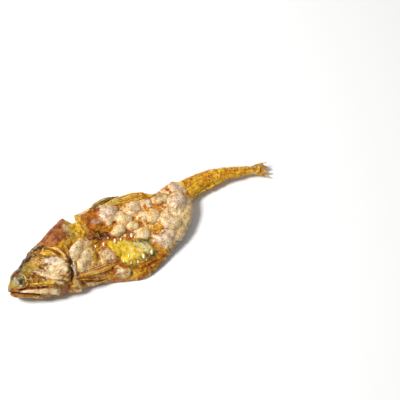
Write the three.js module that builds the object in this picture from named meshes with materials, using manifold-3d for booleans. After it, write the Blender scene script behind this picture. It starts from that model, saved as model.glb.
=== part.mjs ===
// A whole dried fish, gutted and split along the belly, lying on its right side with the left side up.
//
// Everything is worked out in the fish's own straight frame, in millimetres: s runs from the front of the
// jaws to the end of the tail, d from the belly (-) to the back (+), and l out through the left flank (+).
// place() then bends that straight fish along its spine, rolls the head part of the way upright and lays
// the whole on Z = 0, with +X from snout to tail and +Y towards the back.

import * as THREE from "three";
import { mergeVertices } from "three/addons/utils/BufferGeometryUtils.js";
import Module from "manifold-3d";

// ---- Driving dimensions ----

const LENGTH = 122; // front of the jaws to the frayed end of the tail
const GILL = 27.5; // front of the jaws to the rear edge of the gill cover
const EYE = { s: 5.9, d: 1.6, radius: 2.4, rim: 0.5, depth: 2.6 };
const MOUTH = { corner: 12.4, gape: 0.7 }; // how far back the slit runs, and how wide it stands open
const WALL = 1.2; // thickness of the dried belly wall
const SKIN = { front: 28.4, rim: 37.4, end: 90.4, thick: 1.3 }; // the loose flank skin, from front to torn end
const ORIGIN = { x: 63.5, y: 0.9 }; // the middle of the finished outline, in the straight frame

// Outline of the solid flesh: top and low are the back and belly lines, left and right the half
// thicknesses, mid the height of the thickest line, gut how far the belly is opened (0 shut, 1 open).
const FLESH = [
  { s: 0.0, top: 0.9, low: -3.7, left: 1.9, right: 1.9, mid: -1.4, gut: 0 },
  { s: 1.5, top: 2.5, low: -4.9, left: 3.0, right: 3.0, mid: -1.2, gut: 0 },
  { s: 3.7, top: 4.4, low: -6.2, left: 4.3, right: 4.3, mid: -1.0, gut: 0 },
  { s: 9.5, top: 7.0, low: -9.0, left: 6.0, right: 6.0, mid: -0.9, gut: 0 },
  { s: 15.8, top: 10.4, low: -11.2, left: 7.0, right: 7.0, mid: -0.6, gut: 0 },
  { s: 21.2, top: 12.5, low: -12.4, left: 7.4, right: 7.4, mid: -0.3, gut: 0 },
  { s: 25.1, top: 14.4, low: -14.0, left: 7.3, right: 7.2, mid: 0.0, gut: 0 },
  { s: 27.0, top: 15.4, low: -14.6, left: 7.1, right: 6.8, mid: 0.8, gut: 0 },
  { s: 29.5, top: 16.5, low: -13.8, left: 6.7, right: 6.2, mid: 1.8, gut: 0.1 },
  { s: 32.5, top: 17.5, low: -13.0, left: 6.2, right: 5.4, mid: 3.0, gut: 0.5 },
  { s: 35.6, top: 14.0, low: -13.0, left: 5.6, right: 4.8, mid: 3.2, gut: 0.9 },
  { s: 40.0, top: 16.4, low: -14.0, left: 5.2, right: 4.2, mid: 3.2, gut: 1 },
  { s: 47.0, top: 18.2, low: -16.2, left: 4.9, right: 3.8, mid: 3.2, gut: 1 },
  { s: 54.0, top: 17.4, low: -17.8, left: 4.6, right: 3.6, mid: 3.2, gut: 1 },
  { s: 64.0, top: 13.4, low: -14.6, left: 4.4, right: 3.4, mid: 2.8, gut: 1 },
  { s: 72.0, top: 11.8, low: -9.2, left: 4.3, right: 3.3, mid: 3.0, gut: 1 },
  { s: 80.0, top: 11.8, low: -2.8, left: 4.2, right: 3.3, mid: 4.4, gut: 0.4 },
  { s: 88.0, top: 11.4, low: 0.4, left: 3.6, right: 3.2, mid: 5.8, gut: 0 },
  { s: 98.0, top: 9.6, low: 1.8, left: 2.9, right: 2.8, mid: 5.7, gut: 0 },
  { s: 108.0, top: 8.0, low: 2.3, left: 2.2, right: 2.1, mid: 5.2, gut: 0 },
  { s: 116.0, top: 7.0, low: 2.9, left: 1.6, right: 1.5, mid: 5.0, gut: 0 },
  { s: LENGTH, top: 6.4, low: 3.4, left: 0.9, right: 0.9, mid: 4.9, gut: 0 },
];

// Outline of the loose flank skin, its height over the midplane at the crown, and where the crown is.
// Behind the deepest belly its lower line climbs to the back: that is the torn edge.
const FLANK = [
  { s: 28.0, top: 13.0, low: -13.4, crown: 7.3, mid: 1.6 },
  { s: 36.0, top: 16.2, low: -13.6, crown: 6.4, mid: 3.2 },
  { s: 41.6, top: 17.8, low: -15.0, crown: 5.9, mid: 3.2 },
  { s: 47.0, top: 19.0, low: -16.8, crown: 5.6, mid: 3.2 },
  { s: 54.0, top: 18.2, low: -18.8, crown: 5.3, mid: 3.2 },
  { s: 62.0, top: 14.8, low: -16.8, crown: 5.0, mid: 2.8 },
  { s: 68.0, top: 13.0, low: -13.6, crown: 5.0, mid: 2.6 },
  { s: 75.0, top: 12.6, low: -10.6, crown: 5.0, mid: 2.8 },
  { s: 81.0, top: 12.9, low: -7.0, crown: 4.8, mid: 3.6 },
  { s: 86.6, top: 12.7, low: -1.2, crown: 4.4, mid: 5.6 },
  { s: 90.5, top: 11.0, low: 6.6, crown: 3.2, mid: 8.6 },
];

// How the straight fish lies: heading of the spine in the plane, roll of the head and body (90 would
// stand it upright) and height of the midplane over the ground.
const LIE = [
  { s: -2, heading: 0, roll: 34, height: 6.2 },
  { s: 14, heading: 0, roll: 34, height: 8.0 },
  { s: 24, heading: 0, roll: 31, height: 8.6 },
  { s: 34, heading: 0, roll: 20, height: 6.8 },
  { s: 46, heading: 0, roll: 8, height: 3.9 },
  { s: 62, heading: 0, roll: 3, height: 3.1 },
  { s: 76, heading: 8, roll: 3, height: 3.0 },
  { s: 90, heading: 15, roll: 6, height: 3.1 },
  { s: 104, heading: -8, roll: 10, height: 3.0 },
  { s: LENGTH + 4, heading: -24, roll: 14, height: 1.6 },
];

// Blisters that the drying raised on the flank skin: place, radius and height.
const BLISTERS = [
  [50.8, 12.2, 4.2, 1.9],
  [55.8, 7.7, 2.8, 1.6],
  [63.0, 10.0, 3.2, 1.4],
  [70.2, 9.6, 2.3, 1.1],
  [76.2, 8.4, 2.8, 1.4],
  [82.2, 3.2, 4.1, 1.7],
  [85.6, 8.8, 3.2, 1.2],
  [68.6, 2.4, 2.9, 1.4],
  [73.0, -3.2, 3.2, 1.5],
  [52.0, 2.6, 2.6, 1.6],
  [61.9, -2.8, 2.5, 1.6],
  [58.4, 2.8, 2.2, 1.1],
  [64.4, 4.6, 2.2, 1.0],
  [68.6, -8.6, 3.3, 1.0],
  [43.6, 8.8, 2.0, 0.8],
  [43.6, -5.2, 3.6, 1.2],
  [46.6, -13.0, 3.1, 1.1],
  [30.8, 2.2, 3.2, 0.9],
  [34.8, -2.2, 2.6, 0.9],
  [31.2, -4.4, 2.3, 0.7],
];

// ---- Curves ----

const clamp01 = (x) => Math.min(1, Math.max(0, x));
const mix = (a, b, t) => a + (b - a) * t;
const smooth = (from, to, x) => {
  const t = clamp01((x - from) / (to - from));
  return t * t * (3 - 2 * t);
};
const bump = (x, width) => Math.exp(-((x / width) ** 2));

// A smooth curve through one column of a table of stations, which never swings past its stations.
function curve(rows, column) {
  const at = rows.map((r) => r.s);
  const value = rows.map((r) => r[column]);
  const rise = at.slice(1).map((s, i) => (value[i + 1] - value[i]) / (s - at[i]));
  const slope = at.map((_, i) => {
    const [before, after] = [rise[Math.max(0, i - 1)], rise[Math.min(i, rise.length - 1)]];
    return before * after <= 0 ? 0 : (2 * before * after) / (before + after);
  });
  return (s) => {
    const i = Math.max(0, Math.min(at.length - 2, at.findIndex((x) => x > s) - 1));
    const k = s >= at[at.length - 1] ? at.length - 2 : i;
    const width = at[k + 1] - at[k];
    const t = clamp01((s - at[k]) / width);
    const [t2, t3] = [t * t, t * t * t];
    return (
      (2 * t3 - 3 * t2 + 1) * value[k] +
      (t3 - 2 * t2 + t) * width * slope[k] +
      (3 * t2 - 2 * t3) * value[k + 1] +
      (t3 - t2) * width * slope[k + 1]
    );
  };
}

const curves = (rows) =>
  Object.fromEntries(Object.keys(rows[0]).map((column) => [column, curve(rows, column)]));

const flesh = curves(FLESH);
const flank = curves(FLANK);
const lie = curves(LIE);

// ---- Laying the straight fish down ----

// The spine's path over the ground, a point for every millimetre of the fish.
const SPINE_START = -4;
const spine = [new THREE.Vector2(SPINE_START, 0)];
for (let s = SPINE_START; s < LENGTH + 8; s++) {
  const turn = THREE.MathUtils.degToRad(lie.heading(s + 0.5));
  spine.push(spine[spine.length - 1].clone().add(new THREE.Vector2(Math.cos(turn), Math.sin(turn))));
}

function place(s, d, l) {
  const along = Math.min(spine.length - 2, Math.max(0, s - SPINE_START));
  const step = Math.floor(along);
  const foot = spine[step].clone().lerp(spine[step + 1], along - step);
  const turn = THREE.MathUtils.degToRad(lie.heading(s));
  const roll = THREE.MathUtils.degToRad(lie.roll(s));
  const aside = d * Math.cos(roll) - l * Math.sin(roll);
  const up = lie.height(s) + d * Math.sin(roll) + l * Math.cos(roll);
  return new THREE.Vector3(
    foot.x - aside * Math.sin(turn) - ORIGIN.x,
    foot.y + aside * Math.cos(turn) - ORIGIN.y,
    up,
  );
}

// ---- Form of the flesh ----

const FULLNESS = 2.2; // how square the sections are: 2 is an ellipse
const profile = (x) => Math.sqrt(clamp01(1 - Math.abs(x) ** FULLNESS));

// The rear rim of the gill cover is an arc that leans forward over its top.
const gillEdge = (d) => GILL - 0.035 * (d - 0.5) ** 2 - 0.0005 * Math.max(0, d - 0.5) ** 4;
const mouthLine = (s) => -1.8 - 0.54 * s;
const lipLine = (s) => -0.2 - 0.35 * s;

// Relief of the head and nape over the plain outline, the same on both sides.
function headRelief(s, d) {
  const cover = smooth(15, 18.5, s + 0.1 * d) * (1 - smooth(-0.4, 0.6, s - gillEdge(d)));
  const plate = (0.35 + 0.55 * smooth(18, 26, s)) * cover * bump(d + 0.5, 9.5);
  const cheek = 0.5 * bump(Math.hypot(s - 13, d + 1), 3.6);
  const brow = 0.6 * bump(Math.hypot(s - 7.2, (d - 5.2) * 1.6), 2.8);
  const socket = -0.6 * bump(Math.hypot(s - EYE.s, d - EYE.d), EYE.radius);
  const temple = -0.5 * bump(Math.hypot((s - 11.5) * 0.7, d - 4.8), 2.2);
  const collar = 0.5 * bump(s - gillEdge(d) - 2.3, 1.0) * smooth(13, 6, d);
  const nape = -0.9 * bump(s - 22.3, 1.1) * smooth(8, 11, d);
  const hump = 1.5 * bump(Math.hypot(s - 30.0, d - 11.5), 4.6);
  return plate + cheek + brow + socket + temple + collar + nape + hump;
}

// The l at which the straight fish touches the ground.
function groundAt(s, d) {
  const roll = THREE.MathUtils.degToRad(lie.roll(s));
  return -(lie.height(s) + d * Math.sin(roll)) / Math.cos(roll);
}

// Left and right surface of the flesh at s and d, where x runs from -1 at the belly line over 0 to 1 at
// the back line. The opened belly leaves only the right wall, which lies along the ground.
function fleshSides(s, d, x, blunt) {
  const relief = headRelief(s, d) * profile(x) ** 0.5 * blunt;
  const ground = groundAt(s, d);
  const right = Math.max(-flesh.right(s) * blunt * profile(x) - relief, ground - 0.3);
  const wall = Math.max(right, ground) + WALL * Math.min(1, 3 * profile(x));
  const opened = flesh.gut(s) * smooth(-3, -7, d);
  return [mix(flesh.left(s) * blunt * profile(x) + relief, wall, opened), right];
}

// The flesh's section at s: a point at the angle t round it, 0 at the back and half a turn at the belly.
function fleshPoint(s, t) {
  const x = Math.cos(t);
  const blunt = Math.sqrt(clamp01(1 - (1 - clamp01((s + 0.3) / 2.4)) ** 2));
  const mid = flesh.mid(s);
  const d = mid + x * blunt * (x > 0 ? flesh.top(s) - mid : mid - flesh.low(s));
  const [left, right] = fleshSides(s, d, x, blunt);
  return [d, Math.sin(t) > 0 ? left : right];
}

// Height of the flesh's left (side 1) or right (side -1) surface over the midplane at s and d.
function fleshHeight(s, d, side) {
  const mid = flesh.mid(s);
  const x = (d - mid) / (d > mid ? flesh.top(s) - mid : mid - flesh.low(s));
  return fleshSides(s, d, Math.min(1, Math.max(-1, x)), 1)[side > 0 ? 0 : 1];
}

// ---- Form of the flank skin ----

const blister = (s, d) =>
  BLISTERS.reduce((most, [bs, bd, radius, height]) => {
    const near = 1 - ((s - bs) ** 2 + (d - bd) ** 2) / radius ** 2;
    return Math.max(most, near > 0 ? height * near ** 0.7 : 0);
  }, 0);

// The dished window in the lower flank, where the ribs show.
const WINDOW = { s: 54, d: -7.6, length: 12, width: 4.2, slant: -0.28, depth: 0.7 };
function window(s, d) {
  const across = d - WINDOW.d - WINDOW.slant * (s - WINDOW.s);
  return Math.exp(-(((s - WINDOW.s) / WINDOW.length) ** 4) - (across / WINDOW.width) ** 4);
}

function flankHeight(s, d) {
  const [top, low, mid] = [flank.top(s), flank.low(s), flank.mid(s)];
  const share = profile((d - mid) / (d > mid ? top - mid : mid - low));
  const edge = d > mid ? 0.6 : mix(-1.2, 1.4, smooth(58, 78, s));
  const waves = 0.25 * Math.sin(s * 0.55 + d * 0.35) * share;
  return mix(edge, flank.crown(s), share) + waves + blister(s, d) - WINDOW.depth * window(s, d);
}

// The skin starts under the gill cover low down, and at a torn rim behind the nape high up.
const flankFront = (v) => mix(SKIN.front, SKIN.rim, smooth(0.6, 0.7, v)) + 0.4 * Math.sin(v * 19);

function flankPoint(u, v, layer) {
  const front = flankFront(v);
  const s = mix(SKIN.front, SKIN.end, u) + (front - SKIN.front) * (1 - u) ** 4;
  const rag = 0.8 * Math.sin(s * 0.9) + 0.5 * Math.sin(s * 2.1);
  const torn = smooth(60, 70, s) * smooth(0.2, 0, v);
  const d = mix(flank.low(s), flank.top(s), v) + rag * torn;
  const rim = smooth(0.6, 0.72, v);
  const tuck = 1.9 * (1 - rim) * (1 - smooth(0, 2.6, s - front));
  const curl = 1.1 * rim * Math.exp((front - s) / 1.6);
  const sink = 1.6 * smooth(84, SKIN.end, s) * smooth(0.4, 0.9, v);
  const under = layer * (SKIN.thick + blister(s, d));
  return [s, d, flankHeight(s, d) - tuck + curl - sink - under];
}

// ---- Closed meshes from a point function ----

function geometry(points, faces) {
  const made = new THREE.BufferGeometry().setFromPoints(points);
  made.setIndex(faces);
  return made;
}

// Rings of points from one pole to the other: point(i / along, angle).
function loft(along, around, pole0, pole1, point) {
  const points = [place(...pole0)];
  const faces = [];
  for (let i = 0; i < along; i++)
    for (let j = 0; j < around; j++) points.push(place(...point(i / (along - 1), (j / around) * 2 * Math.PI)));
  points.push(place(...pole1));
  const at = (i, j) => 1 + i * around + (j % around);
  for (let j = 0; j < around; j++) {
    faces.push(0, at(0, j), at(0, j + 1));
    faces.push(points.length - 1, at(along - 1, j + 1), at(along - 1, j));
    for (let i = 0; i < along - 1; i++) {
      faces.push(at(i, j), at(i + 1, j), at(i + 1, j + 1));
      faces.push(at(i, j), at(i + 1, j + 1), at(i, j + 1));
    }
  }
  return geometry(points, faces);
}

// A slab between two surfaces over a square of u and v: point(u, v, 0) above and point(u, v, 1) below.
function slab(nu, nv, point) {
  const points = [];
  const faces = [];
  for (const layer of [0, 1])
    for (let i = 0; i <= nu; i++)
      for (let j = 0; j <= nv; j++) points.push(place(...point(i / nu, j / nv, layer)));
  const at = (layer, i, j) => (layer * (nu + 1) + i) * (nv + 1) + j;
  const quad = (a, b, c, e) => faces.push(a, b, c, a, c, e);
  for (let i = 0; i < nu; i++)
    for (let j = 0; j < nv; j++) {
      quad(at(0, i, j), at(0, i + 1, j), at(0, i + 1, j + 1), at(0, i, j + 1));
      quad(at(1, i, j), at(1, i, j + 1), at(1, i + 1, j + 1), at(1, i + 1, j));
    }
  for (let i = 0; i < nu; i++) {
    quad(at(1, i, 0), at(1, i + 1, 0), at(0, i + 1, 0), at(0, i, 0));
    quad(at(0, i, nv), at(0, i + 1, nv), at(1, i + 1, nv), at(1, i, nv));
  }
  for (let j = 0; j < nv; j++) {
    quad(at(0, 0, j), at(0, 0, j + 1), at(1, 0, j + 1), at(1, 0, j));
    quad(at(1, nu, j), at(1, nu, j + 1), at(0, nu, j + 1), at(0, nu, j));
  }
  return geometry(points, faces);
}

// ---- Pieces ----

function fleshBody() {
  // Rings lie closer together on the head than along the tail.
  const station = (u) => (u < 0.42 ? -0.2 + (u / 0.42) * 30.7 : 30.5 + ((u - 0.42) / 0.58) * (LENGTH - 30.5));
  return loft(66, 34, [-0.3, flesh.mid(0), 0], [LENGTH + 0.4, flesh.mid(LENGTH), 0], (u, t) => {
    const s = station(u);
    return [s, ...fleshPoint(s, t)];
  });
}

const flankSkin = () => slab(40, 23, flankPoint);

// The eye is a shrunken ball in a raised rim.
function eye(side) {
  const dome = (r) => 0.5 * bump(r - EYE.radius, EYE.rim) + 0.7 * smooth(EYE.radius, 0.6, r) - 0.1;
  const point = (r, angle, lift) => {
    const [s, d] = [EYE.s + r * Math.cos(angle), EYE.d + r * Math.sin(angle)];
    return [s, d, fleshHeight(s, d, side) + side * lift];
  };
  const outer = EYE.radius + EYE.rim;
  return loft(8, 16, point(0, 0, dome(0)), point(0, 0, -EYE.depth), (u, t) => {
    const r = outer * Math.min(1, 0.12 + u / 0.9);
    return point(r, t, u < 1 ? dome(r) : -EYE.depth);
  });
}

// Height of whatever is outermost on that side.
const surface = (s, d, side) =>
  side > 0 ? Math.max(fleshHeight(s, d, 1), s > 28.6 ? flankHeight(s, d) : 0) : fleshHeight(s, d, -1);

// A ribbon over the body along points [s, d, lift, width], such as a fin that has dried on to the skin.
function ribbon(points, side, thick, steps = 12) {
  const along = new THREE.CatmullRomCurve3(points.map(([s, d, lift]) => new THREE.Vector3(s, d, lift)));
  const widths = curves(points.map(([, , , width], i) => ({ s: i / (points.length - 1), width })));
  return slab(steps, 3, (u, v, layer) => {
    const { x, y, z } = along.getPoint(u);
    const run = along.getTangent(u);
    const aside = ((2 * v - 1) * widths.width(u)) / 2 / Math.hypot(run.x, run.y);
    const [s, d] = [x - run.y * aside, y + run.x * aside];
    const ripple = 0.2 * Math.sin(9 * u + 5 * v);
    return [s, d, surface(x, Math.min(y, flank.top(x)), side) + side * (z + ripple - thick * layer)];
  });
}

const PECTORAL = [
  [[27.6, -7.4, 0.3, 1.6], [33, -8.4, 1.1, 2.6], [39, -9.3, 1.2, 3.2], [45.6, -10, 0.9, 1.2]],
  [[28.2, -9, 0.3, 1.4], [32, -10.6, 0.9, 2.4], [36, -12, 0.9, 2.6], [40.4, -13.2, 0.5, 1.2]],
];
const pectoral = (side) => PECTORAL.map((bunch) => ribbon(bunch, side, 1.5));

// What is left of the two back fins, the anal fin and the tail fin.
const backStrip = () =>
  ribbon(
    [
      [52.5, 17.8, 0.6, 0.8],
      [57.5, 17.4, 1.2, 2.2],
      [63, 16.4, 1.6, 2.6],
      [69, 14.9, 1.5, 2.0],
      [75, 12.0, 0.9, 0.6],
    ],
    1,
    1.5,
  );

function edgeFin(from, to, line, height, rise) {
  return slab(10, 3, (u, v, layer) => {
    const s = mix(from, to, u);
    const fray = 0.6 + 0.4 * Math.sin(u * 17) ** 2;
    const out = height * Math.sin(Math.PI * clamp01(0.08 + 0.84 * u)) * fray * v;
    return [s + rise * v, line(s) + out - Math.sign(height) * 1.2, 0.5 - 1.0 * layer];
  });
}

const tailFin = () =>
  slab(6, 7, (u, v, layer) => {
    const fan = mix(3.0, 6.6, u) + 0.5 * Math.sin(v * 22) * u;
    const fray = 1 + 0.35 * Math.sin(v * 19 + 1) * u;
    return [LENGTH - 3 + 5 * u * fray, 4.9 + (v - 0.5) * fan, mix(0.8, 0.35, u) * (1 - 2 * layer)];
  });

// ---- Cuts ----

// The mouth is a slit through both cheeks, open at the front.
const mouthCut = () =>
  slab(8, 1, (u, v, layer) => {
    const s = mix(-2, MOUTH.corner, u);
    const open = MOUTH.gape * (1 - 0.8 * u);
    return [s, mouthLine(s) + open * (v - 0.5), 10 - 20 * layer];
  });

// A narrow slot into the surface along line(u), widest in its middle, such as the one behind the gill cover.
const slot = (side, line, [ws, wd], depth) =>
  slab(12, 1, (u, v, layer) => {
    const [s, d] = line(u);
    const wide = Math.sin(Math.PI * mix(0.06, 0.94, u)) * v;
    const [at, over] = [s + ws * wide, d + wd * wide];
    return [at, over, fleshHeight(at, over, side) + side * (layer ? -depth : 1.5)];
  });

const gillCut = (side) =>
  slot(side, (u) => [gillEdge(mix(9, -9.5, u)) + 0.1, mix(9, -9.5, u)], [1.1, 0], 1.8);
const lipCut = (side) =>
  slot(side, (u) => [mix(3.4, 14.6, u), lipLine(mix(3.4, 14.6, u))], [0, -0.7], 0.6);

// Everything under Z = 0, so that the fish rests flat where it has dried against the ground.
function ground() {
  const block = new THREE.BoxGeometry(2 * LENGTH, LENGTH, 20);
  block.translate(0, 0, -10);
  block.deleteAttribute("normal");
  block.deleteAttribute("uv");
  return solid(mergeVertices(block));
}

// ---- Joining ----

const wasm = await Module();
wasm.setup();

const manifold = (position, index) =>
  new wasm.Manifold(
    new wasm.Mesh({
      numProp: 3,
      vertProperties: new Float32Array(position),
      triVerts: new Uint32Array(index),
    }),
  );

// A closed shape as a solid, whichever way round its faces run.
function solid(shape) {
  const position = shape.getAttribute("position").array;
  const index = shape.index.array;
  const made = manifold(position, index);
  return made.volume() > 0 ? made : manifold(position, index.slice().reverse());
}

function joined() {
  const sides = [1, -1];
  const added = [
    flankSkin(),
    backStrip(),
    tailFin(),
    edgeFin(43, 53, flank.top, 3.2, 2),
    edgeFin(90, 106, flesh.low, -2.6, 1.5),
    ...sides.map(eye),
    ...sides.flatMap(pectoral),
  ];
  const cuts = [mouthCut(), ...sides.map(gillCut), ...sides.map(lipCut)];
  let fish = solid(fleshBody());
  for (const cut of cuts) fish = fish.subtract(solid(cut));
  for (const piece of added) fish = fish.add(solid(piece));
  fish = fish.subtract(ground());
  // The fish is the one outer body: pockets that the join sealed fill up, and loose scraps drop.
  const bodies = fish.simplify(0.06).decompose();
  return bodies.sort((a, b) => b.volume() - a.volume())[0];
}

function driedFish() {
  const mesh = joined().getMesh();
  const shape = new THREE.BufferGeometry();
  shape.setAttribute("position", new THREE.BufferAttribute(mesh.vertProperties, 3));
  shape.setIndex(new THREE.BufferAttribute(mesh.triVerts, 1));
  shape.computeVertexNormals();
  const skin = new THREE.MeshStandardMaterial({ color: 0xb07a32, roughness: 0.45, metalness: 0 });
  const fish = new THREE.Mesh(shape, skin);
  fish.name = "dried_fish";
  return fish;
}

const model = new THREE.Group();
model.add(driedFish());

export default model;
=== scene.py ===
# %% [markdown]
# # A whole dried fish
# The real thing is a small fish, about twelve centimetres long, salted, split along the belly and dried
# in the sun until its skin blistered. It lies on its right side. The solid from the CAD is loaded first
# as a fixed frame, and every piece made here stands in its place. Its box is measured and printed.

# %% The frame
import math
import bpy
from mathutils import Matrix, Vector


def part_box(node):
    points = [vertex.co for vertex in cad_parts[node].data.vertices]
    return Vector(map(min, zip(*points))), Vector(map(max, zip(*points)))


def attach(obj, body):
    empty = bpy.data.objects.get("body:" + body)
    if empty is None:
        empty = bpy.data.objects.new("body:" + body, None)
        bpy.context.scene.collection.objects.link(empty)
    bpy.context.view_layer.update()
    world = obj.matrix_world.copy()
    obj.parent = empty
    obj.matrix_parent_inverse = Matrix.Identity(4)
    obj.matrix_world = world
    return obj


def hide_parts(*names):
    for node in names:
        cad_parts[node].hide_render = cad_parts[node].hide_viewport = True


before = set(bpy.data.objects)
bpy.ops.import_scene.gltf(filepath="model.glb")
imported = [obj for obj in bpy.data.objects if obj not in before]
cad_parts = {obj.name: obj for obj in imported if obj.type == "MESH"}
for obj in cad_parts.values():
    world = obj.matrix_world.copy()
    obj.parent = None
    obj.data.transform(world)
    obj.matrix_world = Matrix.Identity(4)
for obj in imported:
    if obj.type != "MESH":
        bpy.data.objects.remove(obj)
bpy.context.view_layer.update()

from types import SimpleNamespace

import bpy
import numpy as np
from mathutils import Vector
from mathutils.bvhtree import BVHTree

NODE = "dried_fish"
node_low, node_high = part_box(NODE)
print("the solid fish is", [round(1000 * x, 1) for x in node_high - node_low], "mm")

# %% [markdown]
# ## Camera
# The fish was photographed from high up on its left, with a lens long enough to keep it from looking
# stretched. The camera aims past the middle of the fish, so that it lies in the left half of the picture,
# as it was photographed.

# %% The camera
MM = 0.001  # everything is worked out in millimetres and placed in metres


def aim(thing, target, azimuth, elevation, distance):
    """Puts thing at that distance from target and turns it to look there; azimuth 0 looks along +Y."""
    a, e = math.radians(azimuth), math.radians(elevation)
    back = Vector((math.sin(a) * math.cos(e), -math.cos(a) * math.cos(e), math.sin(e)))
    thing.location = (Vector(target) + back * distance) * MM
    thing.rotation_euler = (-back).to_track_quat("-Z", "Y").to_euler()


def in_scene(name, data):
    """An object with that data, linked into the scene."""
    made = bpy.data.objects.new(name, data)
    bpy.context.scene.collection.objects.link(made)
    return made


lens = bpy.data.cameras.new("camera")
lens.lens = 85
lens.sensor_width = 36
lens.clip_start = 0.01
camera = in_scene("camera", lens)
bpy.context.scene.camera = camera
aim(camera, (27.4, 0.5, 6.2), azimuth=-26.8, elevation=62, distance=416)
print("the camera stands", round(camera.location.z, 3), "m over the floor")

# %% [markdown]
# ## Floor and light
# A plain near-white floor, a white surround and two big soft lamps do for a studio. The stronger lamp is
# small enough to leave the crisp little glints that oily dried skin shows.

# %% The floor and the lamps


def linear(colour):
    """A hex colour such as #c98a1e as the linear values that the nodes work in."""
    parts = [int(colour[i : i + 2], 16) / 255 for i in (1, 3, 5)]
    return (*(c / 12.92 if c < 0.04045 else ((c + 0.055) / 1.055) ** 2.4 for c in parts), 1.0)


def new_finish(name, settings):
    """A material, its node tree and its shader, which has those settings on its own sockets."""
    made = bpy.data.materials.new(name)
    made.use_nodes = True
    surface = made.node_tree.nodes["Principled BSDF"]
    for socket, value in settings.items():
        surface.inputs[socket].default_value = value
    return made, made.node_tree, surface


LAMP_DISTANCE = 700  # millimetres from the middle of the fish


def lamp(name, size, power, azimuth, elevation):
    """A square soft lamp, of that size in metres, that lights the fish from there."""
    light = bpy.data.lights.new(name, "AREA")
    light.size = size
    light.energy = power
    aim(in_scene(name, light), (0, 0, 0), azimuth, elevation, LAMP_DISTANCE)


FLOOR_REACH = 1.5  # metres to each side, past the edges of the picture


def white_floor():
    """A sheet of white card under the fish."""
    mesh = bpy.data.meshes.new("floor")
    far = FLOOR_REACH
    mesh.from_pydata([(-far, -far, 0), (far, -far, 0), (far, far, 0), (-far, far, 0)], [], [(0, 1, 2, 3)])
    card, _, _ = new_finish("white_card", {"Base Color": linear("#f6f6f5"), "Roughness": 0.8})
    mesh.materials.append(card)
    made = in_scene("floor", mesh)


white_floor()
lamp("key_lamp", size=0.2, power=5.9, azimuth=-112, elevation=54)
lamp("fill_lamp", size=0.9, power=0.7, azimuth=120, elevation=50)
surround = bpy.data.worlds.new("surround")
bpy.context.scene.world = surround
surround.use_nodes = True
sky = surround.node_tree.nodes["Background"]
sky.inputs["Color"].default_value = linear("#ffffff")
sky.inputs["Strength"].default_value = 0.25
bpy.context.scene.view_settings.view_transform = "Standard"

# %% [markdown]
# ## Soft steps and smooth curves
# Nothing on a dried fish ends at a hard line. Zones fade in and out by soft steps and bumps, and the
# dimensions change along the body on smooth curves through tables of stations.

# %% Steps, bumps and curves


def clamp01(x):
    return np.clip(x, 0.0, 1.0)


def mix(a, b, t):
    return a + (b - a) * t


def smooth(start, end, x):
    """0 up to start, 1 from end on, and a soft step between; start may be the larger."""
    t = clamp01((x - start) / (end - start))
    return t * t * (3 - 2 * t)


def bump(x, width):
    """1 where x is 0, fading to nothing at about twice the width."""
    return np.exp(-((x / width) ** 2))


def curve(at, value):
    """A smooth curve through the stations, which never swings past them."""
    at, value = np.array(at, float), np.array(value, float)
    rise = np.diff(value) / np.diff(at)
    before, after = np.append(rise[:1], rise), np.append(rise, rise[-1:])
    same = before * after > 0
    slope = np.where(same, 2 * before * after / np.where(same, before + after, 1), 0)

    def read(x):
        k = np.clip(np.searchsorted(at, x, side="right") - 1, 0, len(at) - 2)
        width = at[k + 1] - at[k]
        t = clamp01((x - at[k]) / width)
        bend = t * (1 - t) * width * ((1 - t) * slope[k] - t * slope[k + 1])
        return mix(value[k], value[k + 1], t * t * (3 - 2 * t)) + bend

    return read


def curves(names, rows):
    """One curve for each named column over the first one."""
    columns = np.array(rows, float).T
    return SimpleNamespace(**{n: curve(columns[0], c) for n, c in zip(names.split(), columns)})


print("a quarter of the way through a soft step it is", smooth(0, 1, 0.25).round(3))

# %% [markdown]
# ## The straight fish
# A bent, rolled fish is awkward to model, so every form is first worked out on a straight one: s runs
# from the jaws to the tail, d from belly (-) to back (+), and l out of the left flank (+). The stations
# are the driving dimensions of the solid, so that whatever is made here lies on it: the flesh, the loose
# skin over its left flank, and how the spine bends, rolls and rises as the fish lies there.

# %% Stations
LENGTH = 122  # from the jaws to the end of the tail fin's root
GILL = 27.5  # where the gill cover reaches farthest back
EYE = SimpleNamespace(s=5.9, d=1.6, radius=2.4)
MOUTH_CORNER = 12.4
SKIN = SimpleNamespace(front=28.4, rim=37.4, end=90.4)  # the loose flank skin, low and high in front

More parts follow.
